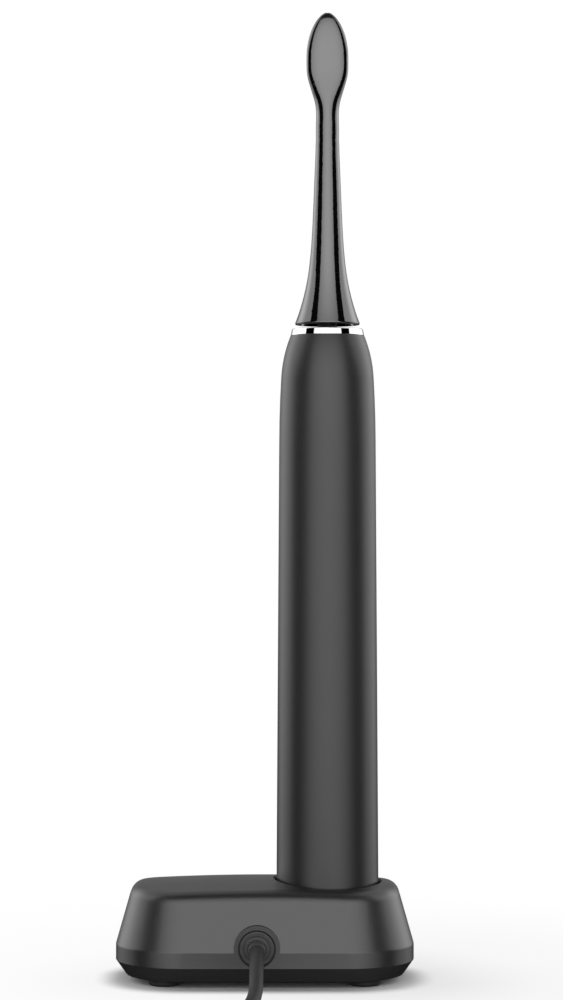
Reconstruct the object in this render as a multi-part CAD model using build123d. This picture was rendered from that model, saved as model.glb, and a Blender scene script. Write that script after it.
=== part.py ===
from build123d import *
import math
import os

# An electric toothbrush standing on its charging base, in millimetres.
# The origin lies on the surface that the base stands on, under the middle of the base.
# +X runs along the base towards the handle, +Y from the cord side to the button side, +Z is up.

# Charging base: outer form
base_width = 80.6
base_depth = 44.0
base_corner_radius = 18.5
base_height = 27.2
base_wall = 2.0
plate_height = 4.1
plate_draw_in = 2.9
plate_floor = 2.0
plate_edge_fillet = 1.0
band_height = 4.2
band_edge_fillet = 1.2
wall_draft = 15.9
crown_radius = 100.0
crown_length_radius = 600.0
top_edge_fillet = 4.0

# Joint between housing and plate
lip_height = 1.5
lip_wall = 1.2
lip_clearance = 0.15

# Feet and the screws under them
foot_radius = 4.4
foot_drop = 1.8
foot_seat_depth = 0.8
foot_seat_clearance = 0.1
foot_edge_chamfer = 0.5
foot_end_distance = 13.5
foot_side_distance = 10.5
screw_shank_radius = 1.0
screw_head_radius = 1.9
screw_head_height = 1.5
screw_length = 8.0
screw_hole_clearance = 0.05
screw_pass_clearance = 0.25
screw_head_clearance = 0.2
screw_boss_radius = 3.0
screw_tip_room = 0.5
screw_tip_chamfer = 0.4
screw_web = 1.7

# Cup and charging post
handle_end_distance = 23.3
cup_depth = 5.2
cup_clearance = 0.55
cup_wall = 1.6
cup_floor_thickness = 1.8
cup_rim_width = 0.4
cup_rim_depth = 0.4
post_radius = 4.5
post_height = 10.0
post_edge_fillet = 1.0
post_wall = 1.7
post_cap = 1.0
handle_seat_gap = 0.1

# Charger electronics
core_clearance = 0.1
core_tip_gap = 0.2
core_flange_radius = 8.4
core_flange_thickness = 1.5
core_pedestal_radius = 5.0
core_pedestal_height = 4.2
primary_radius = 8.0
primary_top_gap = 0.7
primary_bore_clearance = 0.1
charger_board_end_room = 17.8
charger_board_depth = 20.0
charger_board_thickness = 1.2
charger_board_gap = 6.1
charger_board_y = 1.5
charger_board_z = 8.8
capacitor_radius = 2.7
capacitor_height = 8.0
capacitor_edge_chamfer = 0.5
choke_radius = 3.1
choke_hole_radius = 1.3
choke_height = 4.5
driver_length = 6.4
driver_depth = 5.2
driver_height = 1.6
bridge_length = 4.8
bridge_depth = 3.8
bridge_height = 2.2
standoff_radius = 1.6
standoff_inset = 2.4

# Cord gland in the near wall
gland_x = -2.0
gland_z = 11.1
gland_arch_radius = 6.15
gland_boss_length = 6.5
gland_notch_clearance = 0.5
flange_seat_radius = 5.05
flange_seat_depth = 1.5
flange_radius = 4.75
flange_thickness = 1.25
flange_edge_fillet = 0.44
gland_neck_radius = 3.4
gland_neck_clearance = 0.08
gland_collar_radius = 3.5
gland_collar_length = 1.3
gland_collar_fillet = 0.45
gland_lip_radius = 4.2
gland_lip_thickness = 1.2
sleeve_radius = 2.45
sleeve_clearance = 0.05
sleeve_reach = 3.3
sleeve_end_chamfer = 0.35
sleeve_head_radius = 3.6
sleeve_head_length = 1.8

# Cord, its coil and the tie round the coil
cord_diameter = 3.7
cord_floor_gap = 0.05
coil_pitch = 4.25
coil_inner_radius = 14.2
coil_turns_per_layer = 3
coil_x = -4.0
coil_y = -113.7
cord_end_run = 9.0
lead_start_run = 12.5
cord_straight_run = 12.0
cord_corner_share = 0.45
cord_bends = ((-1.9, -53.0), (-8.5, -70.0), (-24.5, -85.0))
lead_bend = (-25.5, -147.5, 5.4)
plug_approach_x = -11.5
plug_start = (2.0, -156.5)
tie_width = 5.0
tie_thickness = 0.6
tie_clearance = 0.3
tie_side_clearance = 0.6
tie_turn = 315.0
tie_corner_radius = 2.6

# Plug at the far end of the cord
plug_length = 24.0
plug_width = 15.6
plug_thickness = 8.0
plug_corner_radius = 2.4
plug_edge_fillet = 0.8
plug_neck_length = 6.0
plug_neck_tip_radius = 2.3
plug_neck_root_radius = 3.4
plug_neck_overlap = 1.0
plug_shell_length = 18.7
plug_shell_width = 12.0
plug_shell_height = 4.5
plug_shell_wall = 0.3
plug_shell_corner = 0.6
plug_shell_embed = 4.0
plug_shell_fit = 0.02
plug_window = 2.4
plug_window_gap = 3.0
plug_window_setback = 5.2
tongue_thickness = 1.8
tongue_setback = 0.6
contact_width = 1.1
contact_pitch = 2.2
contact_length = 7.0
contact_rise = 0.15
contact_setback = 1.0
contact_count = 4

# Handle: outer form, as seen from the side
handle_length = 152.6
handle_bottom_radius = 13.88
handle_taper = 0.00604
shoulder_height = 28.6
knee_height = 11.4
knee_radius = 12.58
handle_top_radius = 10.0
cap_flange_height = 3.0
cap_edge_fillet = 1.0
shell_bore_radius = 11.6
bore_height = 24.6
inner_knee_radius = 10.7
nose_wall = 2.7
nose_inner_radius = 7.8
nose_hole_radius = 5.2

# Bottom cap and its sealing ring
cap_plug_clearance = 0.1
cap_plug_height = 8.0
cap_ring_wall = 2.5
post_hole_clearance = 0.5
post_hole_depth_room = 0.6
hub_wall = 1.0
hub_cap = 1.2
seal_section_radius = 0.7
seal_section_sides = 12
seal_groove_height = 3.9
seal_groove_clearance = 0.06
receiver_clearance = 0.15
receiver_height = 5.5

# Top ring and shaft seal
top_ring_height = 1.7
top_ring_top_radius = 9.66
top_ring_hole_radius = 5.6
top_ring_edge_fillet = 0.3
seal_flange_radius = 6.4
seal_flange_thickness = 1.6
seal_neck_clearance = 0.08
seal_top_radius = 3.2
seal_top_height = 1.2
seal_boot_radius = 2.6
seal_boot_height = 3.6
seal_shaft_clearance = 0.1

# Inner frame
frame_clearance = 0.2
frame_wall = 1.4
frame_floor = 1.6
frame_front_y = 4.6
frame_bulkhead = 1.6
frame_top_thickness = 2.0
frame_shoulder_drop = 9.0
frame_top_radius = 10.3
saddle_length = 4.0
saddle_inset = 6.0
saddle_clearance = 0.05
frame_boss_radius = 2.0

# Battery cell
battery_radius = 7.1
battery_length = 65.0
battery_clearance = 0.1
battery_end_chamfer = 0.5
battery_nub_radius = 2.6
battery_nub_height = 1.0
tab_thickness = 0.25
tab_width = 5.0
tab_overhang = 3.0
tab_clearance = 0.1

# Main board and what is on it
board_half_width = 9.8
board_thickness = 1.0
board_bottom_gap = 1.2
board_top_gap = 2.0
board_corner_radius = 1.0
frame_screw_x = 6.5
frame_screw_drop = 5.0
frame_screw_radius = 0.8
frame_screw_head_radius = 1.5
frame_screw_head_height = 1.1
frame_screw_length = 7.0
frame_screw_chamfer = 0.4
chip_height = 1.0
chip_x = (0.0, -5.0, 4.6, 5.6, -5.4)
chip_z = (14.0, 26.0, 27.0, 62.0, 63.0)
chip_widths = (6.5, 4.0, 5.0, 3.2, 3.6)
chip_lengths = (6.5, 5.0, 4.2, 6.0, 3.6)
led_count = 3
led_pitch = 6.0
led_size = 1.8
led_height = 0.8
led_centre = 50.0
guide_pin_radius = 1.0
guide_pin_clearance = 0.08
guide_bar_width = 4.0
guide_bar_thickness = 1.2
guide_led_gap = 0.3
guide_bar_margin = 2.4

# Power button and its switch
button_height = 84.0
button_radius = 4.4
button_clearance = 0.25
button_flange_radius = 5.8
button_flange_thickness = 1.2
button_flange_y = 9.8
button_rise = 0.35
button_crown = 22.0
button_edge_fillet = 0.4
button_travel = 0.5
gasket_outer_radius = 6.2
gasket_gap = 0.15
gasket_fit = 0.05
switch_size = 6.0
switch_thickness = 2.0
plunger_radius = 1.6
plunger_clearance = 0.15
plunger_entry = 0.3
plunger_room = 0.2

# Motor
motor_drop = 18.45
motor_radius = 8.0
motor_length = 40.0
motor_wall = 0.8
motor_edge_chamfer = 0.4
motor_front_wall = 1.2
motor_rear_wall = 2.4
motor_fit = 0.05
bush_radius = 3.0
bush_fit = 0.03
bush_way_clearance = 0.2
bush_flange_radius = 4.0
bush_flange_thickness = 1.0
front_bush_length = 7.0
front_bush_proud = 2.5
rear_bush_length = 4.5
rear_bush_seat = 1.4
stator_front_room = 10.2
stator_gap = 9.4
stator_back = 1.05
pole_count = 4
pole_tip_radius = 4.2
pole_width = 2.6
winding_thickness = 0.9
winding_head = 1.6
winding_inner = 4.5
winding_outer = 5.5
winding_clearance = 0.05
winding_corner_fillet = 0.5
rotor_overhang = 2.0
yoke_radius = 2.8
yoke_fit = 0.02
magnet_radius = 3.8
magnet_fit = 0.02
magnet_arc = 76.0

# Drive shaft
shaft_radius = 1.75
shaft_running_fit = 0.04
shaft_end_gap = 0.2
shaft_flat_depth = 0.5
shaft_flat_length = 13.0
shaft_tip_chamfer = 0.4

# Brush head
head_gap = 1.1
head_bottom_radius = 9.0
head_bottom_fillet = 0.4
head_length = 84.9
flare_heights = (6.1, 12.7, 19.2, 32.5, 41.5)
flare_radii = (6.92, 5.43, 4.62, 3.84, 3.48)
flare_foot_lean = 0.42
flare_neck_lean = 0.02
neck_start = 49.5
neck_start_radius = 3.2
neck_radius = 3.1
neck_step = 0.02
neck_shares = (0.0, 0.12, 0.24, 0.36, 0.45, 0.54, 0.63, 0.71, 0.8, 0.9)
spread_drop = 14.9
spread_length = 12.2
plate_half_width = 5.7
plate_half_length = 12.4
plate_half_depth = 2.4
plate_squareness = 2.8
plate_tip_power = 0.6
plate_stations = (0.0, 0.22, 0.42, 0.6, 0.75, 0.87, 0.945, 0.985)
section_points = 36
tip_fillet = 0.35
head_front_y = 1.2
front_margin = 0.9
front_ramp_length = 8.6
front_ramp_depth = 3.0
flare_wall = 1.5
cavity_height = 6.5
cavity_top_radius = 5.0
insert_radius = 3.1
insert_fit = 0.03
insert_below = 1.0
insert_length = 16.0
insert_cap = 1.4

# Bristles: tufts of strands on a slice of their backing
slice_thickness = 0.8
slice_margin = 1.3
slice_fit = 0.02
tuft_margin = 1.0
tuft_pitch_x = 1.95
tuft_pitch_z = 2.0
strand_ring = 0.6
strands_round = 8
strand_side = 0.3
strand_length = 10.4
strand_wave = 0.7
strand_root = 0.3
wave_rows = 2.5
field_overrun = 0.3

# Places and heights that follow from the sizes above
handle_x = base_width / 2 - handle_end_distance
foot_x = base_width / 2 - foot_end_distance
foot_y = base_depth / 2 - foot_side_distance
charger_board_right = handle_x - core_flange_radius - charger_board_gap
charger_board_left = charger_board_end_room - base_width / 2
charger_board_length = charger_board_right - charger_board_left
charger_board_x = (charger_board_left + charger_board_right) / 2
plate_top = foot_drop + plate_height
band_top = plate_top + band_height
cup_floor = base_height - cup_depth
post_top = cup_floor + post_height
handle_bottom = cup_floor + handle_seat_gap
shell_bottom = handle_bottom + cap_flange_height
handle_top = handle_bottom + handle_length
shoulder_start = handle_top - shoulder_height
knee_z = handle_top - knee_height
bore_top = handle_top - bore_height
nose_inner_z = handle_top - nose_wall
frame_bottom = shell_bottom + cap_plug_height
seal_flange_z = nose_inner_z - seal_flange_thickness
motor_top = handle_top - motor_drop
motor_bottom = motor_top - motor_length
frame_roof = motor_top + frame_top_thickness
ring_top = handle_top + top_ring_height
head_bottom = ring_top + head_gap
head_top = head_bottom + head_length
cup_radius = handle_bottom_radius + cup_clearance
near_wall = -base_depth / 2
pieces = {}


def disc(radius, bottom, height, x=handle_x, y=0.0):
    """A cylinder along Z that stands on the given height."""
    return Pos(x, y, bottom) * Cylinder(radius, height, align=(Align.CENTER, Align.CENTER, Align.MIN))


def tube(outer, inner, bottom, height, x=handle_x, y=0.0):
    """A hollow cylinder along Z."""
    return disc(outer, bottom, height, x, y) - disc(inner, bottom, height, x, y)


def rod_y(radius, start, end, x, z):
    """A cylinder along Y between two places on that axis."""
    low = min(start, end)
    placed = Pos(x, low, z) * Rot(-90, 0, 0)
    return placed * Cylinder(radius, abs(end - start), align=(Align.CENTER, Align.CENTER, Align.MIN))


def block(x0, x1, y0, y1, z0, z1):
    """A box between two corners."""
    centre = Pos((x0 + x1) / 2, (y0 + y1) / 2, (z0 + z1) / 2)
    return centre * Box(x1 - x0, y1 - y0, z1 - z0)


def turned(points, x=handle_x):
    """A solid of revolution about the upright axis at x, from (radius, height) points."""
    outline = make_face(Polyline(*[(r, 0, z) for r, z in points], close=True))
    return Pos(x, 0, 0) * revolve(outline, Axis.Z)


def keep(name, shape):
    """Files a finished piece under its name."""
    pieces[name] = shape


def base_plan(inset, height):
    """Plan of the base at a height, drawn in from its widest outline."""
    outline = RectangleRounded(
        base_width - 2 * inset, base_depth - 2 * inset, base_corner_radius - inset
    )
    return Pos(0, 0, height) * outline


def base_form(inset):
    """Band, drafted wall and crowned top in one form, drawn in by an inset."""
    draw_in = math.tan(math.radians(wall_draft)) * (base_height - band_top)
    band = extrude(base_plan(inset, plate_top), band_height, dir=(0, 0, 1))
    wall = loft([base_plan(inset, band_top), base_plan(inset + draw_in, base_height)], ruled=True)
    crown = Pos(0, 0, base_height - crown_length_radius) * Rot(90, 0, 0)
    crown = crown * Torus(crown_length_radius - crown_radius, crown_radius - inset)
    return (band + wall) & crown


# Outer form of the base with its rounded edges
foot_places = [(x, y) for x in (-foot_x, foot_x) for y in (-foot_y, foot_y)]
outer_form = base_form(0)
top_edges = outer_form.faces().sort_by(Axis.Z)[-1].edges()
outer_form = fillet(top_edges, top_edge_fillet)
band_edges = [
    e for e in outer_form.edges()
    if abs(e.center().Z - band_top) < 0.01 and e.bounding_box().size.Z < 0.01
]
outer_form = fillet(band_edges, band_edge_fillet)

# Housing: shell, arch of the gland, cup with a stepped rim that follows the crown, bosses and post
housing = outer_form - base_form(base_wall)
inside_end = near_wall + gland_boss_length
arch = rod_y(gland_arch_radius, near_wall, inside_end, gland_x, gland_z)
arch = arch & block(-base_width, base_width, -base_depth, base_depth, plate_top, base_height)
bosses = [disc(screw_boss_radius, plate_top, base_height, x, y) for x, y in foot_places]
cup_boss = disc(cup_radius + cup_wall, cup_floor - cup_floor_thickness, base_height)
inner_bosses = (cup_boss + bosses) & base_form(base_wall / 2)
housing = housing + inner_bosses + arch
housing = housing - disc(cup_radius, cup_floor, base_height)
rim = disc(cup_radius + cup_rim_width, cup_floor, base_height)
housing = housing - (rim - Pos(0, 0, -cup_rim_depth) * outer_form)
post = disc(post_radius, cup_floor - cup_floor_thickness, post_height + cup_floor_thickness)
post = fillet(post.edges().group_by(Axis.Z)[-1], post_edge_fillet)
core_radius = post_radius - post_wall - core_clearance
core_top = post_top - post_cap - core_tip_gap
post_bore = disc(post_radius - post_wall, 0, post_top - post_cap)
pilot = screw_shank_radius + screw_hole_clearance
screw_seat = plate_top - screw_web
pilot_depth = screw_length - screw_web + screw_tip_room
pilots = [disc(pilot, plate_top, pilot_depth, x, y) for x, y in foot_places]
seat_y = near_wall + flange_seat_depth
flange_seat = rod_y(flange_seat_radius, near_wall - flange_seat_depth, seat_y, gland_x, gland_z)
neck_hole = rod_y(gland_neck_radius + gland_neck_clearance, near_wall, inside_end, gland_x, gland_z)
housing = housing + post - post_bore - pilots - flange_seat - neck_hole
keep("base_housing", housing)

# Base plate: chamfered tray with a locating lip, screw posts, standoffs and a pedestal
plate = loft([base_plan(plate_draw_in, foot_drop), base_plan(0, plate_top)], ruled=True)
plate = fillet(plate.faces().sort_by(Axis.Z)[0].edges(), plate_edge_fillet)
lip_outer = base_wall + lip_clearance
lip_inner = lip_outer + lip_wall
floor_top = foot_drop + plate_floor
lip = extrude(base_plan(lip_outer, plate_top), lip_height, dir=(0, 0, 1))
gland_half = gland_arch_radius + gland_notch_clearance
lip_top = plate_top + lip_height
lip_notch = block(gland_x - gland_half, gland_x + gland_half, near_wall, 0, plate_top, lip_top)
tray = extrude(base_plan(lip_inner, floor_top), plate_height + lip_height, dir=(0, 0, 1))
plate = plate + (lip - lip_notch) - tray
root = floor_top - plate_floor / 4
posts = [disc(screw_boss_radius, root, plate_top - root, x, y) for x, y in foot_places]
core_bottom = floor_top + core_pedestal_height
pedestal = disc(core_pedestal_radius, root, core_bottom - root)
reach_x = charger_board_length / 2 - standoff_inset
reach_y = charger_board_depth / 2 - standoff_inset
standoffs = [
    disc(standoff_radius, root, charger_board_z - root, charger_board_x + x, charger_board_y + y)
    for x in (-reach_x, reach_x) for y in (-reach_y, reach_y)
]
foot_top = foot_drop + foot_seat_depth
foot_seats = [disc(foot_radius + foot_seat_clearance, 0, foot_top, x, y) for x, y in foot_places]
head_room = screw_head_radius + screw_head_clearance
head_seats = [disc(head_room, 0, screw_seat, x, y) for x, y in foot_places]
screw_ways = [disc(screw_shank_radius + screw_pass_clearance, 0, base_height, x, y) for x, y in foot_places]
plate = plate + posts + pedestal + standoffs - foot_seats - head_seats - screw_ways
keep("base_plate", plate)

foot_names = ("foot_left_near", "foot_left_far", "foot_right_near", "foot_right_far")
for name, (x, y) in zip(foot_names, foot_places):
    foot = disc(foot_radius, 0, foot_top, x, y)
    keep(name, chamfer(foot.edges().group_by(Axis.Z)[0], foot_edge_chamfer))

screws = []
for x, y in foot_places:
    head = disc(screw_head_radius, screw_seat - screw_head_height, screw_head_height, x, y)
    shank = disc(screw_shank_radius, screw_seat, screw_length, x, y)
    shank = chamfer(shank.edges().group_by(Axis.Z)[-1], screw_tip_chamfer)
    screws.append(head + shank)
keep("base_screws", Compound(children=screws))

# Charger electronics: ferrite core through the post, winding on it, board and its parts
coil_bottom = core_bottom + core_flange_thickness
core = disc(core_radius, core_bottom, core_top - core_bottom)
core = core + disc(core_flange_radius, core_bottom, core_flange_thickness)
keep("charge_core", core)
primary_bore = core_radius + primary_bore_clearance
primary_height = cup_floor - cup_floor_thickness - primary_top_gap - coil_bottom
keep("primary_coil", tube(primary_radius, primary_bore, coil_bottom, primary_height))
board_top = charger_board_z + charger_board_thickness
board = Pos(charger_board_x, charger_board_y, charger_board_z) * RectangleRounded(
    charger_board_length, charger_board_depth, board_corner_radius
)
keep("charger_board", extrude(board, charger_board_thickness, dir=(0, 0, 1)))
can_x = charger_board_x - reach_x + capacitor_radius
can_y = charger_board_y + reach_y - capacitor_radius
can = disc(capacitor_radius, board_top, capacitor_height, can_x, can_y)
can = chamfer(can.edges().group_by(Axis.Z)[-1], capacitor_edge_chamfer)
choke_x = charger_board_x + reach_x - choke_radius
choke_y = charger_board_y + reach_y - choke_radius
choke = tube(choke_radius, choke_hole_radius, board_top, choke_height, choke_x, choke_y)
on_board = (Align.CENTER, Align.CENTER, Align.MIN)
driver_x = charger_board_x - reach_x + driver_length / 2
driver = Pos(driver_x, charger_board_y - reach_y + driver_depth, board_top)
driver = driver * Box(driver_length, driver_depth, driver_height, align=on_board)
bridge = Pos(choke_x, charger_board_y - reach_y + bridge_depth, board_top)
bridge = bridge * Box(bridge_length, bridge_depth, bridge_height, align=on_board)
keep("charger_parts", Compound(children=[can, choke, driver, bridge]))

# Gland: flanged grommet in the wall, and the sleeve that grips the cord inside it
flange_face = seat_y - flange_thickness
collar_face = flange_face - gland_collar_length
grommet = rod_y(flange_radius, seat_y, flange_face, gland_x, gland_z)
grommet = fillet(grommet.edges().group_by(Axis.Y)[0], flange_edge_fillet)
grommet = grommet + rod_y(gland_neck_radius, seat_y, inside_end, gland_x, gland_z)
grommet = grommet + rod_y(gland_lip_radius, inside_end, inside_end + gland_lip_thickness, gland_x, gland_z)
collar = rod_y(gland_collar_radius, flange_face, collar_face, gland_x, gland_z)
grommet = grommet + fillet(collar.edges().group_by(Axis.Y)[0], gland_collar_fillet)
lip_end = inside_end + gland_lip_thickness
grommet = grommet - rod_y(sleeve_radius + sleeve_clearance, collar_face, lip_end, gland_x, gland_z)
keep("cord_grommet", grommet)
cord_exit_y = collar_face - sleeve_reach
sleeve = rod_y(sleeve_radius, cord_exit_y, lip_end, gland_x, gland_z)
sleeve = chamfer(sleeve.edges().group_by(Axis.Y)[0], sleeve_end_chamfer)
sleeve = sleeve + rod_y(sleeve_head_radius, lip_end, lip_end + sleeve_head_length, gland_x, gland_z)
keep("strain_relief", sleeve)

# Coil of the cord: two layers, in on the lower one and out on the upper one
cord_radius = cord_diameter / 2
coil_low = tie_thickness + tie_clearance + cord_radius
quarter = math.pi / 2
reverse_turn = 2 * math.pi * coil_turns_per_layer
coil_start_turn = math.pi


def coil_place(turn):
    """Centreline of the coil: it draws in, climbs a layer in the half turn about the middle, and widens."""
    reach = abs(turn - reverse_turn) / (2 * math.pi)
    radius = coil_inner_radius + coil_pitch * reach
    climb = min(max((turn - reverse_turn) / math.pi + 0.5, 0.0), 1.0)
    height = coil_low + coil_pitch * (1 - math.cos(math.pi * climb)) / 2
    angle = coil_start_turn + turn
    return Vector(coil_x + radius * math.cos(angle), coil_y + radius * math.sin(angle), height)


def coil_heading(turn):
    """Direction of the coil's centreline."""
    step = 1e-4
    return (coil_place(turn + step) - coil_place(turn - step)).normalized()


def biarc(start, start_heading, end, end_heading):
    """Two arcs that leave one point and reach the next in the given directions."""
    across = end - start
    both = start_heading + end_heading
    share = 2 * (1 - start_heading.dot(end_heading))
    along = across.dot(both)
    reach = (math.sqrt(along * along + share * across.dot(across)) - along) / share
    middle = (start + end + (start_heading - end_heading) * reach) / 2
    first = TangentArc(start, middle, tangent=start_heading)
    second = TangentArc(middle, end, tangent=first % 1)
    return [first, second]


turns = [k * quarter for k in range(8 * coil_turns_per_layer + 1)]
coil_points = [coil_place(t) for t in turns]
coil_headings = [coil_heading(t) for t in turns]
coil_entry = coil_points[0] - coil_headings[0] * cord_diameter
coil_leave = coil_points[-1] + coil_headings[-1] * cord_diameter
coil_edges = [Line(coil_entry, coil_points[0])]
for k in range(len(turns) - 1):
    coil_edges += biarc(coil_points[k], coil_headings[k], coil_points[k + 1], coil_headings[k + 1])
coil_edges.append(Line(coil_points[-1], coil_leave))
coil_path = Wire(coil_edges)
coil_section = Plane(origin=coil_entry, z_dir=coil_headings[0]) * Circle(cord_radius)
cord_coil = sweep(coil_section, path=coil_path)
keep("cord_coil", cord_coil)

# Measured on the coil's path: the least gap between places that lie more than half a turn apart
sample_count = 500
apart_share = 0.6
samples = [coil_path.position_at(k / sample_count) for k in range(sample_count + 1)]
apart = int(sample_count * apart_share * 2 * math.pi * coil_inner_radius / coil_path.length)
least = min(
    (samples[a] - samples[b]).length
    for a in range(sample_count + 1) for b in range(a + apart, sample_count + 1)
)
print("least gap of the coil to itself", round(least - cord_diameter, 3))
print("coil volume over section times length", round(
    cord_coil.volume / (math.pi * cord_radius ** 2 * coil_path.length), 5))


def cord_run(points, label):
    """A tube along straight runs whose corners are as round as the runs allow."""
    radii = []
    for before, corner, after in zip(points, points[1:], points[2:]):
        turn = math.radians((corner - before).get_angle(after - corner))
        shorter = min((corner - before).length, (after - corner).length)
        radii.append(cord_corner_share * shorter / math.tan(turn / 2))
    path = FilletPolyline(*points, radius=radii)
    solid = sweep(Plane(origin=points[0], z_dir=points[1] - points[0]) * Circle(cord_radius), path=path)
    ratio = solid.volume / (math.pi * cord_radius ** 2 * path.length)
    print(label, "radii", [round(r, 1) for r in radii], "volume ratio", round(ratio, 5))
    return solid, path.length


# Free stretch: out of the sleeve, down to the surface and round to the coil
cord_low = cord_radius + cord_floor_gap
cord_route = [
    Vector(gland_x, cord_exit_y, gland_z),
    Vector(gland_x, cord_exit_y - cord_straight_run, gland_z),
    *[Vector(x, y, cord_low) for x, y in cord_bends],
    coil_entry - coil_headings[0] * cord_end_run,
    coil_entry,
]
power_cord, cord_length_a = cord_run(cord_route, "power cord")
keep("power_cord", power_cord)

# Tie: a flat band round the bundle of turns
tie_inner = coil_inner_radius - coil_pitch / 2 - cord_radius - tie_side_clearance
tie_outer = coil_inner_radius + coil_pitch * coil_turns_per_layer + cord_radius + tie_side_clearance
tie_height = coil_pitch + cord_diameter + 2 * tie_clearance
tie_reach = tie_outer - tie_inner
band_outer = RectangleRounded(
    tie_reach + 2 * tie_thickness, tie_height + 2 * tie_thickness, tie_corner_radius
)
band_inner = RectangleRounded(tie_reach, tie_height, tie_corner_radius - tie_thickness)
tie_plane = Pos(coil_x, coil_y, tie_thickness + tie_height / 2) * Rot(0, 0, tie_turn)
tie_plane = tie_plane * Pos((tie_inner + tie_outer) / 2, 0, 0) * Rot(90, 0, 0)
tie = tie_plane * extrude(band_outer - band_inner, tie_width / 2, both=True)
keep("cord_tie", tie)

# Plug, lying flat with its shell towards +X
plug_mid = plug_thickness / 2
plug_x, plug_y = plug_start
lead_route = [
    coil_leave,
    coil_leave + coil_headings[-1] * lead_start_run,
    Vector(*lead_bend),
    Vector(plug_approach_x, plug_y, plug_mid),
    Vector(plug_x, plug_y, plug_mid),
]
plug_lead, cord_length_b = cord_run(lead_route, "plug lead")
keep("plug_lead", plug_lead)
lying = Pos(plug_x, plug_y, plug_mid) * Rot(0, 90, 0)
body_start = plug_neck_length
plug_face = body_start + plug_length
plug = extrude(RectangleRounded(plug_thickness, plug_width, plug_corner_radius), plug_length)
plug_ends = plug.edges().group_by(Axis.Z)
plug = fillet(plug_ends[0] + plug_ends[-1], plug_edge_fillet)
plug = Pos(0, 0, body_start) * plug
neck = Cone(
    plug_neck_tip_radius, plug_neck_root_radius, plug_neck_length,
    align=(Align.CENTER, Align.CENTER, Align.MIN),
)
neck = neck + Pos(0, 0, plug_neck_length) * Cylinder(plug_neck_root_radius, plug_neck_overlap)
shell_start = plug_face - plug_shell_embed
shell_bed = Pos(0, 0, shell_start) * extrude(
    Rectangle(plug_shell_height + 2 * plug_shell_fit, plug_shell_width + 2 * plug_shell_fit), plug_length
)
keep("plug_body", lying * (plug + neck - shell_bed))
sheet = RectangleRounded(plug_shell_height, plug_shell_width, plug_shell_corner)
hollow = Rectangle(plug_shell_height - 2 * plug_shell_wall, plug_shell_width - 2 * plug_shell_wall)
sheet = extrude(sheet - hollow, plug_shell_length)
window_z = plug_shell_length - plug_window_setback
window = Box(2 * plug_shell_height, plug_window, plug_window)
window_y = (plug_window_gap + plug_window) / 2
windows = [Pos(0, y, window_z) * window for y in (-window_y, window_y)]
keep("plug_shell", lying * Pos(0, 0, shell_start) * (sheet - windows))
tongue_back = plug_shell_height / 2 - plug_shell_wall
tongue_width = plug_shell_width - 2 * plug_shell_wall - 2 * plug_shell_fit
tongue = block(
    tongue_back - plug_shell_fit - tongue_thickness, tongue_back - plug_shell_fit,
    -tongue_width / 2, tongue_width / 2, 0, plug_shell_length - tongue_setback,
)
keep("plug_tongue", lying * Pos(0, 0, shell_start) * tongue)
contact_x = tongue_back - plug_shell_fit - tongue_thickness
contact_half = contact_width / 2
contact_places = [contact_pitch * (k - (contact_count - 1) / 2) for k in range(contact_count)]
contacts = [
    block(contact_x - contact_rise, contact_x, y - contact_half, y + contact_half, 0, contact_length)
    for y in contact_places
]
contact_start = shell_start + plug_shell_length - tongue_setback - contact_length - contact_setback
keep("plug_contacts", lying * Pos(0, 0, contact_start) * Compound(children=contacts))
print("cord length", round(cord_length_a + cord_length_b + coil_path.length, 1))


def handle_radius(height):
    """Radius of the handle's tapered side at a height."""
    return handle_bottom_radius - handle_taper * (height - handle_bottom)


# Handle shell: tapered tube with a rounded shoulder, open at the bottom
low_edge = (handle_radius(shell_bottom), 0, shell_bottom)
shoulder_edge = (handle_radius(shoulder_start), 0, shoulder_start)
side = Line(low_edge, shoulder_edge)
swell = TangentArc(side @ 1, (knee_radius, 0, knee_z), tangent=side % 1)
shoulder = TangentArc(swell @ 1, (handle_top_radius, 0, handle_top), tangent=swell % 1)
inside = Polyline(
    shoulder @ 1,
    (nose_hole_radius, 0, handle_top),
    (nose_hole_radius, 0, nose_inner_z),
    (nose_inner_radius, 0, nose_inner_z),
    (inner_knee_radius, 0, knee_z),
    (shell_bore_radius, 0, bore_top),
    (shell_bore_radius, 0, shell_bottom),
    low_edge,
)
shell = Pos(handle_x, 0, 0) * revolve(make_face(Wire([side, swell, shoulder] + inside.edges())), Axis.Z)
button_z = handle_bottom + button_height
button_way = rod_y(button_radius + button_clearance, 0, 2 * handle_bottom_radius, handle_x, button_z)
led_heights = [handle_bottom + led_centre + led_pitch * (k - (led_count - 1) / 2) for k in range(led_count)]
pin_room = guide_pin_radius + guide_pin_clearance
pin_ways = [rod_y(pin_room, 0, 2 * handle_bottom_radius, handle_x, z) for z in led_heights]
keep("handle_shell", shell - button_way - pin_ways)

# Polished ring on top of the shell
ring = turned([
    (top_ring_hole_radius, handle_top), (handle_top_radius, handle_top),
    (top_ring_top_radius, ring_top), (top_ring_hole_radius, ring_top),
])
keep("top_ring", fillet(ring.edges().group_by(Axis.Z)[-1], top_ring_edge_fillet))

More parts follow.
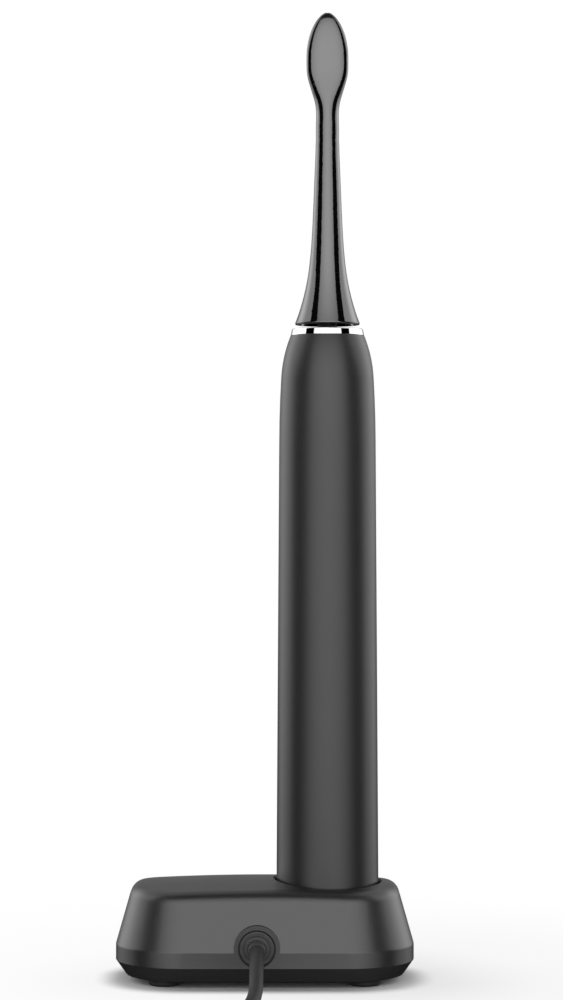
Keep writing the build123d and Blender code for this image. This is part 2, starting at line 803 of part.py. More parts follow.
# Bottom cap: flange, sealing plug and the blind hole for the charging post
plug_radius = shell_bore_radius - cap_plug_clearance
cap_ring_inner = plug_radius - cap_ring_wall
hole_radius = post_radius + post_hole_clearance
hole_top = post_top + post_hole_depth_room
hub_radius = hole_radius + hub_wall
cap = disc(handle_radius(shell_bottom), handle_bottom, cap_flange_height)
cap = fillet(cap.edges().group_by(Axis.Z)[0], cap_edge_fillet)
cap = cap + tube(plug_radius, cap_ring_inner, shell_bottom, cap_plug_height)
hub_low = handle_bottom + cap_edge_fillet
cap = cap + disc(hub_radius, hub_low, hole_top + hub_cap - hub_low)
cap = cap - disc(hole_radius, 0, hole_top)
groove_half = seal_section_radius + seal_groove_clearance
groove_z = shell_bottom + seal_groove_height
groove_floor = plug_radius - 2 * seal_section_radius
cap = cap - tube(2 * plug_radius, groove_floor, groove_z - groove_half, 2 * groove_half)
keep("bottom_cap", cap)
seal_middle = shell_bore_radius - seal_section_radius - seal_groove_clearance
seal_angles = [2 * math.pi * (k + 0.5) / seal_section_sides for k in range(seal_section_sides)]
keep("cap_seal", turned([
    (seal_middle + seal_section_radius * math.cos(a), groove_z + seal_section_radius * math.sin(a))
    for a in seal_angles
]))
keep("receiver_coil", tube(
    cap_ring_inner - receiver_clearance, hub_radius + receiver_clearance, shell_bottom, receiver_height))

# Shaft seal under the nose of the shell, with a boot that rises round the shaft
seal_neck = nose_hole_radius - seal_neck_clearance
seal_hole = shaft_radius + seal_shaft_clearance
keep("shaft_seal", turned([
    (seal_hole, seal_flange_z), (seal_flange_radius, seal_flange_z),
    (seal_flange_radius, nose_inner_z), (seal_neck, nose_inner_z),
    (seal_neck, handle_top), (seal_top_radius, handle_top + seal_top_height),
    (seal_boot_radius, handle_top + seal_top_height), (seal_boot_radius, handle_top + seal_boot_height),
    (seal_hole, handle_top + seal_boot_height),
]))

# Inner frame: a cradle with bulkheads, open to the front, and a nose that carries the seal
frame_radius = shell_bore_radius - frame_clearance
frame_inner = frame_radius - frame_wall
frame_slope_z = frame_roof - frame_shoulder_drop
frame = turned([
    (0, frame_bottom), (frame_radius, frame_bottom), (frame_radius, frame_slope_z),
    (frame_top_radius, frame_roof), (seal_flange_radius, frame_roof),
    (seal_flange_radius, seal_flange_z), (0, seal_flange_z),
])
cell_bottom = frame_bottom + frame_floor + tab_thickness
cell_top = cell_bottom + battery_length
cell_room_top = cell_top + tab_thickness + tab_clearance
gap_bottom = cell_room_top + frame_bulkhead
gap_top = motor_bottom - frame_bulkhead
cell_room = disc(frame_inner, frame_bottom + frame_floor, cell_room_top - frame_bottom - frame_floor)
gap_room = disc(frame_inner, gap_bottom, gap_top - gap_bottom)
motor_room = disc(frame_inner, motor_bottom, motor_length) & turned([
    (0, motor_bottom), (frame_inner, motor_bottom), (frame_inner, frame_slope_z),
    (frame_top_radius - frame_wall, motor_top), (0, motor_top),
])
saddle_bore = motor_radius + saddle_clearance
saddles = [
    tube(frame_radius, saddle_bore, z, saddle_length)
    for z in (motor_bottom + saddle_inset, motor_top - saddle_inset - saddle_length)
]
motor_room = motor_room - saddles
front = block(-base_width, base_width, frame_front_y, base_depth, frame_bottom, motor_top)
boss_z = gap_top - frame_screw_drop
screw_sides = (handle_x - frame_screw_x, handle_x + frame_screw_x)
frame_bosses = [rod_y(frame_boss_radius, -frame_inner, frame_front_y, x, boss_z) for x in screw_sides]
frame_bosses = [b & disc(frame_radius, gap_bottom, gap_top) for b in frame_bosses]
hub_way = disc(hub_radius + receiver_clearance, frame_bottom, frame_floor)
bush_way = disc(bush_radius + bush_way_clearance, motor_top, seal_flange_z - motor_top)
frame = frame - cell_room - gap_room - motor_room - front + frame_bosses - hub_way - bush_way
screw_tip = frame_front_y + board_thickness - frame_screw_length
frame_pilot = frame_screw_radius + screw_hole_clearance
pilot_end = screw_tip - screw_tip_room
frame_pilots = [rod_y(frame_pilot, pilot_end, frame_front_y, x, boss_z) for x in screw_sides]
keep("inner_frame", frame - frame_pilots)

# Battery cell with its button end, and the tabs to the board
cell_y = -(frame_inner - battery_radius - battery_clearance)
cell = disc(battery_radius, cell_bottom, battery_length - battery_nub_height, handle_x, cell_y)
cell = chamfer(cell.edges().filter_by(GeomType.CIRCLE), battery_end_chamfer)
nub_low = cell_top - 2 * battery_nub_height
cell = cell + disc(battery_nub_radius, nub_low, 2 * battery_nub_height, handle_x, cell_y)
keep("battery_cell", cell)
tab_end = frame_front_y - tab_clearance
tab_left = handle_x - tab_width / 2
tabs = [
    block(tab_left, tab_left + tab_width, cell_y - tab_overhang, tab_end, z, z + tab_thickness)
    for z in (cell_bottom - tab_thickness, cell_top)
]
keep("battery_tabs", Compound(children=tabs))

# Main board on the edges of the frame
board_low = frame_bottom + board_bottom_gap
board_high = gap_top - board_top_gap
board_face = frame_front_y + board_thickness
flat = RectangleRounded(2 * board_half_width, board_high - board_low, board_corner_radius)
board_place = Pos(handle_x, frame_front_y, (board_low + board_high) / 2) * Rot(-90, 0, 0)
main_board = board_place * extrude(flat, board_thickness)
screw_passes = [rod_y(frame_pilot, frame_front_y, board_face, x, boss_z) for x in screw_sides]
keep("main_board", main_board - screw_passes)
frame_screws = []
for x in screw_sides:
    head = rod_y(frame_screw_head_radius, board_face, board_face + frame_screw_head_height, x, boss_z)
    head = chamfer(head.edges().group_by(Axis.Y)[-1], frame_screw_chamfer)
    frame_screws.append(head + rod_y(frame_screw_radius, screw_tip, board_face, x, boss_z))
keep("frame_screws", Compound(children=frame_screws))
chips = [
    block(handle_x + x - w / 2, handle_x + x + w / 2, board_face, board_face + chip_height,
          board_low + z - h / 2, board_low + z + h / 2)
    for x, z, w, h in zip(chip_x, chip_z, chip_widths, chip_lengths)
]
keep("board_chips", Compound(children=chips))
leds = [
    block(handle_x - led_size / 2, handle_x + led_size / 2, board_face, board_face + led_height,
          z - led_size / 2, z + led_size / 2)
    for z in led_heights
]
keep("status_leds", Compound(children=leds))

# Light guide: a bar before the lamps with a pin through the shell for each
bar_y = board_face + led_height + guide_led_gap
bar_low = led_heights[0] - guide_bar_margin
bar_high = led_heights[-1] + guide_bar_margin
guide = block(handle_x - guide_bar_width / 2, handle_x + guide_bar_width / 2,
              bar_y, bar_y + guide_bar_thickness, bar_low, bar_high)
guide = guide + [rod_y(guide_pin_radius, bar_y, 2 * handle_bottom_radius, handle_x, z) for z in led_heights]
keep("light_guide", guide & Pos(handle_x, 0, 0) * revolve(make_face(Polyline(
    (0, 0, handle_bottom), (handle_radius(handle_bottom), 0, handle_bottom),
    (handle_radius(shoulder_start), 0, shoulder_start), (0, 0, shoulder_start), close=True)), Axis.Z))

# Power button: crowned cap with a flange behind the shell, and the plunger of its switch
button_face = handle_radius(button_z) + button_rise
button = rod_y(button_radius, button_flange_y, button_face, handle_x, button_z)
dome = Pos(handle_x, button_face - button_crown, button_z) * Sphere(button_crown)
button = button & dome
button = fillet(button.edges().group_by(Axis.Y)[-1], button_edge_fillet)
flange_back = button_flange_y - button_flange_thickness
button = button + rod_y(button_flange_radius, flange_back, button_flange_y, handle_x, button_z)
keep("button_cap", button)
switch_face = board_face + switch_thickness
plunger_back = switch_face - plunger_entry
keep("switch_plunger", rod_y(plunger_radius, plunger_back, flange_back, handle_x, button_z))
half = switch_size / 2
switch = block(handle_x - half, handle_x + half, board_face, switch_face, button_z - half, button_z + half)
plunger_end = plunger_back - button_travel - plunger_room
plunger_way = rod_y(plunger_radius + plunger_clearance, plunger_end, switch_face, handle_x, button_z)
keep("switch_base", switch - plunger_way)
gasket = rod_y(gasket_outer_radius, button_flange_y + gasket_gap, shell_bore_radius, handle_x, button_z)
gasket = gasket - rod_y(button_radius + button_clearance, 0, 2 * shell_bore_radius, handle_x, button_z)
bore_form = disc(shell_bore_radius - gasket_fit, handle_bottom, handle_length)
keep("button_gasket", gasket & bore_form)

# Motor: can, end cap, bushes, laminated poles and windings
can_inner = motor_radius - motor_wall
front_wall_z = motor_top - motor_front_wall
case = disc(motor_radius, motor_bottom, motor_length)
case = case - disc(can_inner, motor_bottom, motor_length - motor_front_wall)
case = chamfer(case.edges().group_by(Axis.Z)[-1], motor_edge_chamfer)
keep("motor_case", case - disc(bush_radius + bush_fit, motor_bottom, motor_length))
rear_wall_top = motor_bottom + motor_rear_wall
rear_bush_z = rear_wall_top - rear_bush_seat
rear_cap = disc(can_inner - motor_fit, motor_bottom, motor_rear_wall)
keep("motor_end_cap", rear_cap - disc(bush_radius + bush_fit, rear_bush_z, motor_rear_wall))
bush_bore = shaft_radius + shaft_running_fit
front_bush_z = motor_top + front_bush_proud - front_bush_length
front_bush = disc(bush_radius, front_bush_z, front_bush_length)
bush_flange_z = front_wall_z - bush_flange_thickness
front_bush = front_bush + disc(bush_flange_radius, bush_flange_z, bush_flange_thickness)
keep("front_bush", front_bush - disc(bush_bore, 0, head_top))
keep("rear_bush", tube(bush_radius, bush_bore, rear_bush_z, rear_bush_length))
stator_low = rear_wall_top + stator_gap
stator_length = motor_length - motor_rear_wall - stator_gap - stator_front_room
stator_mid = stator_low + stator_length / 2
stator_outer = can_inner - motor_fit
stator_inner = stator_outer - stator_back
ring_core = tube(stator_outer, stator_inner, stator_low, stator_length)
stator_high = stator_low + stator_length
pole_root = stator_inner + stator_back / 2
pole_bar = block(0, pole_root, -pole_width / 2, pole_width / 2, stator_low, stator_high)
pole_angles = [360 / pole_count * (k + 0.5) for k in range(pole_count)]
poles = [Pos(handle_x, 0, 0) * Rot(0, 0, a) * pole_bar for a in pole_angles]
keep("stator_core", ring_core + [p - disc(pole_tip_radius, stator_low, stator_length) for p in poles])
slot = pole_width / 2 + winding_clearance
loop_low = stator_low - winding_clearance
loop_high = stator_high + winding_clearance
coil_out = block(winding_inner, winding_outer, -slot - winding_thickness, slot + winding_thickness,
                 loop_low - winding_head, loop_high + winding_head)
coil_out = fillet(coil_out.edges().filter_by(Axis.X), winding_corner_fillet)
winding = coil_out - block(winding_inner, winding_outer, -slot, slot, loop_low, loop_high)
keep("stator_coils", Compound(children=[Pos(handle_x, 0, 0) * Rot(0, 0, a) * winding for a in pole_angles]))

# Rotor: drive shaft with a flat at the tip, yoke and magnets
shaft_bottom = rear_bush_z + shaft_end_gap
insert_bottom = head_bottom + cavity_height - insert_below
insert_top = insert_bottom + insert_length
shaft_top = insert_top - insert_cap - shaft_end_gap
shaft = disc(shaft_radius, shaft_bottom, shaft_top - shaft_bottom)
shaft = chamfer(shaft.edges().group_by(Axis.Z)[-1], shaft_tip_chamfer)
flat_y = shaft_radius - shaft_flat_depth
shaft = shaft - block(0, base_width, flat_y, base_depth, shaft_top - shaft_flat_length, head_top)
keep("drive_shaft", shaft)
rotor_length = stator_length + 2 * rotor_overhang
rotor_low = stator_mid - rotor_length / 2
yoke = tube(yoke_radius, shaft_radius + yoke_fit, rotor_low, rotor_length)
keep("rotor_yoke", yoke)
sector_reach = 2 * magnet_radius
sector_half = sector_reach * math.tan(math.radians(magnet_arc / 2))
sector = make_face(Polyline((0, 0), (sector_reach, -sector_half), (sector_reach, sector_half), close=True))
wedge = Pos(handle_x, 0, rotor_low) * extrude(sector, rotor_length)
magnet_ring = tube(magnet_radius, yoke_radius + magnet_fit, rotor_low, rotor_length)
magnets = []
for k in range(pole_count):
    turn = Pos(handle_x, 0, 0) * Rot(0, 0, 360 / pole_count * (k + 0.5)) * Pos(-handle_x, 0, 0)
    magnets.append((turn * wedge) & magnet_ring)
keep("rotor_magnets", Compound(children=magnets))

# Brush head: flared sleeve and slim neck turned in one, then an oval plate with a flat front
neck_start_z = head_bottom + neck_start
plate_z = head_top - plate_stations[-1] * plate_half_length
spread_z = plate_z - spread_drop
flare_points = [(r, 0, head_bottom + h) for h, r in zip(flare_heights, flare_radii)]
neck_base = (neck_start_radius, 0, neck_start_z)
flare_line = Spline(
    [(head_bottom_radius, 0, head_bottom)] + flare_points + [neck_base],
    tangents=[(-flare_foot_lean, 0, 1), (-flare_neck_lean, 0, 1)],
)
flare_face = make_face(Wire([
    flare_line,
    Line(neck_base, (0, 0, neck_start_z)),
    Line((0, 0, neck_start_z), (0, 0, head_bottom)),
    Line((0, 0, head_bottom), (head_bottom_radius, 0, head_bottom)),
]))
flare = Pos(handle_x, 0, 0) * revolve(flare_face, Axis.Z)
flare = fillet(flare.edges().group_by(Axis.Z)[0], head_bottom_fillet)


def ease(share):
    """A soft step from 0 to 1."""
    share = min(max(share, 0.0), 1.0)
    return share * share * (3 - 2 * share)


def head_section(z):
    """Section of neck and plate: round in the neck, wide and flatter in the plate, narrow at its tip."""
    settled = ease((z - neck_start_z) / (spread_z - neck_start_z))
    neck = neck_start_radius - neck_step + (neck_radius - neck_start_radius + neck_step) * settled
    spread = ease((z - spread_z) / spread_length)
    tip = max(0.0, (z - plate_z) / plate_half_length)
    wide = (neck + (plate_half_width - neck) * spread) * (1 - tip ** 2) ** plate_tip_power
    deep = (neck + (plate_half_depth - neck) * spread) * math.sqrt(1 - tip ** 4)
    power = 2 + (plate_squareness - 2) * spread
    points = []
    for k in range(section_points):
        angle = 2 * math.pi * k / section_points
        across, back = math.cos(angle), math.sin(angle)
        reach = (abs(across) ** power + abs(back) ** power) ** (-1 / power)
        points.append((handle_x + wide * reach * across, deep * reach * back, z))
    steps = list(range(section_points + 1))
    return Face(Wire([Edge.make_spline(points, periodic=True, parameters=steps)]))


section_heights = [neck_start_z + share * (plate_z - neck_start_z) for share in neck_shares]
section_heights += [plate_z + share * plate_half_length for share in plate_stations]
oval = loft([head_section(z) for z in section_heights])
oval = fillet(oval.edges().group_by(Axis.Z)[-1], tip_fillet)
front_foot = plate_z - plate_half_length + front_margin
ramp_front = head_front_y + front_ramp_depth
front_cut = make_face(Polyline(
    (0, head_front_y, front_foot), (0, head_front_y, head_top),
    (0, ramp_front, head_top), (0, ramp_front, front_foot - front_ramp_length), close=True,
))
front_cut = extrude(front_cut, base_width, dir=(1, 0, 0))
head = flare + (oval - front_cut)
upright = Pos(handle_x, head_front_y, plate_z) * Rot(90, 0, 0)
cavity = turned([
    (0, head_bottom), (head_bottom_radius - flare_wall, head_bottom),
    (cavity_top_radius, head_bottom + cavity_height), (0, head_bottom + cavity_height),
])
insert_way = disc(insert_radius + insert_fit, head_bottom, insert_top - head_bottom)
slice_half_width = plate_half_width - slice_margin
slice_half_length = plate_half_length - slice_margin
slice_bed = Ellipse(slice_half_width + slice_fit, slice_half_length + slice_fit)
slice_bed = upright * extrude(slice_bed, slice_thickness)
keep("head_body", head - cavity - insert_way - slice_bed)
insert = disc(insert_radius, insert_bottom, insert_length)
bore = disc(shaft_radius + shaft_running_fit, insert_bottom, insert_length - insert_cap)
key_y = flat_y + shaft_running_fit
key_low = shaft_top - shaft_flat_length + shaft_end_gap
bore = bore - block(0, base_width, key_y, base_depth, key_low, head_top)
keep("socket_insert", insert - bore)

# Bristles: every strand stands on a slice of the plate's face
strands = []
backing = upright * extrude(Ellipse(slice_half_width, slice_half_length), slice_thickness)
field_x = slice_half_width - tuft_margin
field_z = slice_half_length - tuft_margin
row_count = 2 * int(field_z / tuft_pitch_z) + 1
strand_count = 0
for row in range(row_count):
    z = tuft_pitch_z * (row - (row_count - 1) / 2)
    half_row = field_x * math.sqrt(1 - (z / (field_z + field_overrun)) ** 2)
    in_row = int(2 * half_row / tuft_pitch_x) + 1
    length = strand_length + strand_wave * math.cos(math.pi * z / tuft_pitch_z / wave_rows)
    spots = []
    for column in range(in_row):
        x = tuft_pitch_x * (column - (in_row - 1) / 2)
        ring_places = [2 * math.pi * (k + 0.5 * row) / strands_round for k in range(strands_round)]
        spots.append((x, z))
        spots += [(x + strand_ring * math.cos(a), z + strand_ring * math.sin(a)) for a in ring_places]
    strand_count += len(spots)
    section = [Pos(x, z) * Rectangle(strand_side, strand_side) for x, z in spots]
    rise = Pos(handle_x, head_front_y - strand_root, plate_z) * Rot(-90, 0, 0)
    strands += [rise * extrude(s, length + strand_root) for s in section]
print("strands", strand_count)
bristles = backing.fuse(*strands)
keep("bristles", bristles)

os.makedirs("parts", exist_ok=True)
for name, shape in pieces.items():
    export_step(shape, f"parts/{name}.step")
print("pieces", len(pieces))
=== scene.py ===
import math
import bpy
from bpy.props import FloatProperty, FloatVectorProperty, IntProperty, PointerProperty
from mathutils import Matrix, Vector


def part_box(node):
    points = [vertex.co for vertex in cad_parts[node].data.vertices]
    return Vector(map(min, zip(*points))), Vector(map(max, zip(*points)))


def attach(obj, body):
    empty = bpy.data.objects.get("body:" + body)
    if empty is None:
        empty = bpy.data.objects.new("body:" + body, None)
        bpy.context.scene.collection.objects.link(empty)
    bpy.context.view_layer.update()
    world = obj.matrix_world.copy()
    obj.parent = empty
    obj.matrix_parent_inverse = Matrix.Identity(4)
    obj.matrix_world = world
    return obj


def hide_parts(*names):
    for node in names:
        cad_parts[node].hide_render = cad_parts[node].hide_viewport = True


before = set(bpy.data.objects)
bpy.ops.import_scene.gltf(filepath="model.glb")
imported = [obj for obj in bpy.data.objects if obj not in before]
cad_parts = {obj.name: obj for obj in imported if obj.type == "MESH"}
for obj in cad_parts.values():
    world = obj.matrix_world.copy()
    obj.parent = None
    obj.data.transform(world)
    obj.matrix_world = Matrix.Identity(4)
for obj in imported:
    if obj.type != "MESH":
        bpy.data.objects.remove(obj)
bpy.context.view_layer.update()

bl_info = {
    "name": "Toothbrush on its charging base",
    "version": (1, 0, 0),
    "blender": (4, 5, 0),
    "location": "View3D > Sidebar > Toothbrush",
    "description": "Dresses an electric toothbrush, its charging base and the studio round them",
    "category": "Object",
}

MM = 0.001


# Sizes and colours that a user would change

class BrushSizes(bpy.types.PropertyGroup):
    """Sizes of the pieces that are modelled here"""
    cord_diameter: FloatProperty(
        name="Cord diameter", description="Outer diameter of the cord's jacket",
        default=0.0037, min=0.001, unit="LENGTH")
    cord_length: FloatProperty(
        name="Cord length", description="Length of the cord from the base to its plug",
        default=0.938, min=0.1, unit="LENGTH")
    filament_radius: FloatProperty(
        name="Filament radius", description="Radius of one nylon filament",
        default=0.00009, min=0.00002, unit="LENGTH")
    filament_rings: IntProperty(
        name="Filament rings", description="Rings of filaments round the middle one of a tuft",
        default=3, min=1, max=5)


class BrushColours(bpy.types.PropertyGroup):
    """Colours of the main finishes"""
    handle: FloatVectorProperty(
        name="Handle", description="Soft matte coat of the handle",
        default=(0.016, 0.0162, 0.0168), subtype="COLOR", size=3, min=0, max=1)
    base: FloatVectorProperty(
        name="Base", description="Moulded plastic of the charging base",
        default=(0.013, 0.0132, 0.0137), subtype="COLOR", size=3, min=0, max=1)
    head: FloatVectorProperty(
        name="Head", description="Gloss plastic of the brush head",
        default=(0.0025, 0.0025, 0.0028), subtype="COLOR", size=3, min=0, max=1)
    cord: FloatVectorProperty(
        name="Cord", description="Jacket of the cord, the gland and the plug",
        default=(0.026, 0.0263, 0.0272), subtype="COLOR", size=3, min=0, max=1)
    bristles: FloatVectorProperty(
        name="Bristles", description="Nylon filaments",
        default=(0.78, 0.79, 0.8), subtype="COLOR", size=3, min=0, max=1)


class BrushStudio(bpy.types.PropertyGroup):
    """Light of the studio"""
    front: FloatProperty(
        name="Front", description="Level of the soft panel on the near side", default=2.0, min=0)
    sides: FloatProperty(
        name="Sides", description="Level of the panels at the sides and behind", default=1.2, min=0)
    top: FloatProperty(
        name="Top", description="Level of the ceiling", default=0.55, min=0)
    flag_start: FloatProperty(
        name="Flag start", description="Angle from the near side where the black flags begin",
        default=math.radians(46), subtype="ANGLE")
    flag_end: FloatProperty(
        name="Flag end", description="Angle from the near side where the black flags end",
        default=math.radians(92), subtype="ANGLE")


# Shader maths

class Wire:
    """A value in a node tree that takes part in Python expressions"""

    def __init__(self, shades, socket):
        self.shades = shades
        self.socket = socket

    def __add__(self, other):
        return self.shades.work_out("ADD", self, other)

    def __radd__(self, other):
        return self.shades.work_out("ADD", other, self)

    def __sub__(self, other):
        return self.shades.work_out("SUBTRACT", self, other)

    def __rsub__(self, other):
        return self.shades.work_out("SUBTRACT", other, self)

    def __mul__(self, other):
        return self.shades.work_out("MULTIPLY", self, other)

    def __rmul__(self, other):
        return self.shades.work_out("MULTIPLY", other, self)

    def __pow__(self, other):
        return self.shades.work_out("POWER", self, other)

    def __rpow__(self, other):
        return self.shades.work_out("POWER", other, self)

    def __neg__(self):
        return self.shades.work_out("MULTIPLY", self, -1.0)


class Shades:
    """The nodes of one material, or of the studio's surroundings"""

    # A Mix node's sockets share their names, so its colours go by their places
    first_colour = 6
    second_colour = 7
    mixed_colour = 2

    def __init__(self, tree):
        self.tree = tree
        self.tree.nodes.clear()

    def node(self, kind, settings=None, inputs=None, out=0):
        """Adds a node, sets it up, feeds its sockets and returns one of its outputs"""
        made = self.tree.nodes.new(kind)
        for key, value in (settings or {}).items():
            setattr(made, key, value)
        for key, value in (inputs or {}).items():
            if isinstance(value, Wire):
                self.tree.links.new(value.socket, made.inputs[key])
            else:
                made.inputs[key].default_value = value
        return Wire(self, made.outputs[out]) if made.outputs else made

    def work_out(self, operation, *values):
        """A Math node's result"""
        return self.node("ShaderNodeMath", {"operation": operation}, dict(enumerate(values)))

    def place(self, turn=(0, 0, 0), scale=(1, 1, 1)):
        """Object coordinates, turned and stretched"""
        where = self.node("ShaderNodeTexCoord", out="Object")
        return self.node("ShaderNodeMapping", {}, {"Vector": where, "Rotation": turn, "Scale": scale})

    def along(self, axis, vector=None):
        """One coordinate in metres"""
        vector = vector or self.node("ShaderNodeTexCoord", out="Object")
        return self.node("ShaderNodeSeparateXYZ", {}, {"Vector": vector}, out=axis)

    def noise(self, size, detail=2.0, vector=None):
        """Noise whose features are about as large as the size, in metres"""
        vector = vector or self.place()
        return self.node(
            "ShaderNodeTexNoise", {}, {"Vector": vector, "Scale": 1.0 / size, "Detail": detail})

    def step(self, value, low, high):
        """A soft step from 0 to 1"""
        return self.node(
            "ShaderNodeMapRange", {"interpolation_type": "SMOOTHSTEP"},
            {"Value": value, "From Min": low, "From Max": high})

    def fall(self, value, low, high):
        """A soft step from 1 to 0"""
        return 1.0 - self.step(value, low, high)

    def wave(self, value, pitch):
        """A wave from 0 to 1 that repeats at the pitch"""
        angle = value * (2 * math.pi / pitch)
        return self.work_out("SINE", angle) * 0.5 + 0.5

    def blend(self, share, first, second):
        """A colour between two colours"""
        first = first if isinstance(first, Wire) else (*first, 1.0)
        second = second if isinstance(second, Wire) else (*second, 1.0)
        return self.node(
            "ShaderNodeMix", {"data_type": "RGBA"},
            {"Factor": share, self.first_colour: first, self.second_colour: second}, out=self.mixed_colour)

    def bump(self, height, depth, strength=1.0):
        """A normal from a height of 0 to 1 that stands for the depth in metres"""
        return self.node(
            "ShaderNodeBump", {}, {"Height": height, "Distance": depth, "Strength": strength})


def finish(name, build, **constants):
    """A material whose build function takes its Shades, s, and gives the values of its surface"""
    material = bpy.data.materials.new(name)
    material.use_nodes = True
    shades = Shades(material.node_tree)
    values = {**constants, **build(shades)}
    surface = shades.node("ShaderNodeBsdfPrincipled", {}, values)
    shades.node("ShaderNodeOutputMaterial", {}, {"Surface": surface})
    return material


def tone(colour, by):
    """The colour, lighter or darker"""
    return tuple(min(1.0, c * by) for c in colour)


# Finishes of this object

def soft_coat(name, colour):
    """Soft matte coat: a fine even grain and faint marks of handling"""
    def build(s):
        grain = s.noise(0.22 * MM, 3.0)
        cloud = s.noise(14 * MM, 2.0)
        handled = s.noise(5 * MM, 4.0)
        return {
            "Base Color": s.blend(cloud, tone(colour, 0.9), tone(colour, 1.1)),
            "Roughness": 0.32 + handled * 0.04 + grain * 0.03,
            "Normal": s.bump(grain, 0.006 * MM, 0.25),
        }
    return finish(name, build, IOR=1.66)


def moulded_plastic(name, colour, rough=0.4, grain_size=0.3 * MM, depth=0.008 * MM):
    """Satin moulding with a spark-eroded grain"""
    def build(s):
        grain = s.noise(grain_size, 3.0)
        flow = s.noise(20 * MM, 2.0)
        worn = s.noise(3 * MM, 4.0)
        return {
            "Base Color": s.blend(flow, tone(colour, 0.92), tone(colour, 1.08)),
            "Roughness": rough - 0.04 + worn * 0.06 + grain * 0.05,
            "Normal": s.bump(grain, depth, 0.4),
        }
    return finish(name, build)


def charger_plastic(name, colour, axis_x, cup_radius, cup_top):
    """The base's moulding: satin grain, smoother where the handle slides into the cup"""
    def build(s):
        grain = s.noise(0.3 * MM, 3.0)
        flow = s.noise(24 * MM, 2.0)
        worn = s.noise(3 * MM, 4.0)
        across = s.along("X") - axis_x
        deep = s.along("Y")
        reach = (across * across + deep * deep) ** 0.5
        near_cup = s.fall(reach, cup_radius + 0.2 * MM, cup_radius + 2.2 * MM)
        in_cup = s.step(s.along("Z"), cup_top - 7 * MM, cup_top - 5 * MM)
        rubbed = near_cup * in_cup * s.step(worn, 0.35, 0.75)
        return {
            "Base Color": s.blend(flow, tone(colour, 0.94), tone(colour, 1.06)),
            "Roughness": 0.3 + worn * 0.04 + grain * 0.04 - rubbed * 0.1,
            "Normal": s.bump(grain, 0.008 * MM, 0.3),
        }
    return finish(name, build, IOR=1.8)


def head_gloss(name, colour):
    """High gloss moulding with a trace of moulding ripple and fine wipe marks"""
    def build(s):
        ripple = s.noise(4 * MM, 1.0)
        wiped = s.noise(0.5 * MM, 3.0, s.place(scale=(1, 1, 0.12)))
        haze = s.noise(6 * MM, 4.0)
        return {
            "Base Color": s.blend(haze, colour, tone(colour, 1.6)),
            "Roughness": 0.035 + s.step(wiped, 0.5, 0.8) * 0.03 + haze * 0.015,
            "Normal": s.bump(ripple, 0.004 * MM, 0.25),
        }
    return finish(name, build, IOR=2.2)


def mirror_metal(name, colour):
    """Polished plating with hairlines round the ring"""
    def build(s):
        hairline = s.noise(0.12 * MM, 2.0, s.place(scale=(0.05, 0.05, 1)))
        smudge = s.noise(3 * MM, 4.0)
        return {
            "Base Color": s.blend(smudge, tone(colour, 0.97), colour),
            "Roughness": 0.012 + s.step(smudge, 0.5, 0.85) * 0.012,
            "Normal": s.bump(hairline, 0.0005 * MM, 0.05),
        }
    return finish(name, build, Metallic=1.0)


def rubber(name, colour, rough=0.62):
    """Matte flexible moulding with a dusty bloom"""
    def build(s):
        grain = s.noise(0.25 * MM, 3.0)
        bloom = s.noise(2.5 * MM, 5.0)
        return {
            "Base Color": s.blend(s.step(bloom, 0.4, 0.8), colour, tone(colour, 1.35)),
            "Roughness": rough + bloom * 0.1 - grain * 0.05,
            "Normal": s.bump(grain, 0.02 * MM, 0.45),
        }
    return finish(name, build)


def cord_jacket(name, colour):
    """Flexible jacket: fine drag marks and a faint bloom"""
    def build(s):
        drag = s.noise(0.2 * MM, 2.0)
        bloom = s.noise(3 * MM, 4.0)
        return {
            "Base Color": s.blend(bloom, tone(colour, 0.9), tone(colour, 1.2)),
            "Roughness": 0.48 + bloom * 0.12 + drag * 0.05,
            "Normal": s.bump(drag, 0.015 * MM, 0.4),
        }
    return finish(name, build)


def brushed_metal(name, colour, rough=0.3, stretch=(1, 1, 0.04)):
    """Metal with fine lines left by its making"""
    def build(s):
        line = s.noise(0.15 * MM, 3.0, s.place(scale=stretch))
        stain = s.noise(4 * MM, 4.0)
        return {
            "Base Color": s.blend(stain, tone(colour, 0.85), tone(colour, 1.05)),
            "Roughness": rough - 0.06 + line * 0.14 + stain * 0.05,
            "Normal": s.bump(line, 0.006 * MM, 0.3),
        }
    return finish(name, build, Metallic=1.0)


def wound_wire(name, colour, pitch):
    """Enamelled wire wound turn by turn along the upright axis, with painted shade in the grooves between
    the turns
    """
    def build(s):
        uneven = s.noise(2 * MM, 2.0) * (0.4 * pitch)
        turn = s.wave(s.along("Z") + uneven, pitch)
        shade = s.noise(1.5 * MM, 3.0)
        # Painted shade: the grooves between the turns are darker than the crests
        crest = s.step(turn, 0.05, 0.45)
        enamel = s.blend(shade, tone(colour, 0.85), colour)
        return {
            "Base Color": s.blend(crest, tone(colour, 0.35), enamel),
            "Roughness": 0.42 - crest * 0.14,
            "Normal": s.bump(turn, 0.08 * MM, 0.7),
        }
    return finish(name, build, Metallic=0.85)


def stacked_sheets(name, colour, pitch):
    """Punched sheets stacked along the upright axis"""
    def build(s):
        edge = s.step(s.wave(s.along("Z"), pitch), 0.1, 0.4)
        oxide = s.noise(1.2 * MM, 4.0)
        sheet = s.blend(oxide, tone(colour, 0.8), tone(colour, 1.1))
        return {
            "Base Color": s.blend(edge, tone(colour, 0.4), sheet),
            "Roughness": 0.5 - edge * 0.12 + oxide * 0.08,
            "Normal": s.bump(edge, 0.04 * MM, 0.6),
        }
    return finish(name, build, Metallic=0.9)


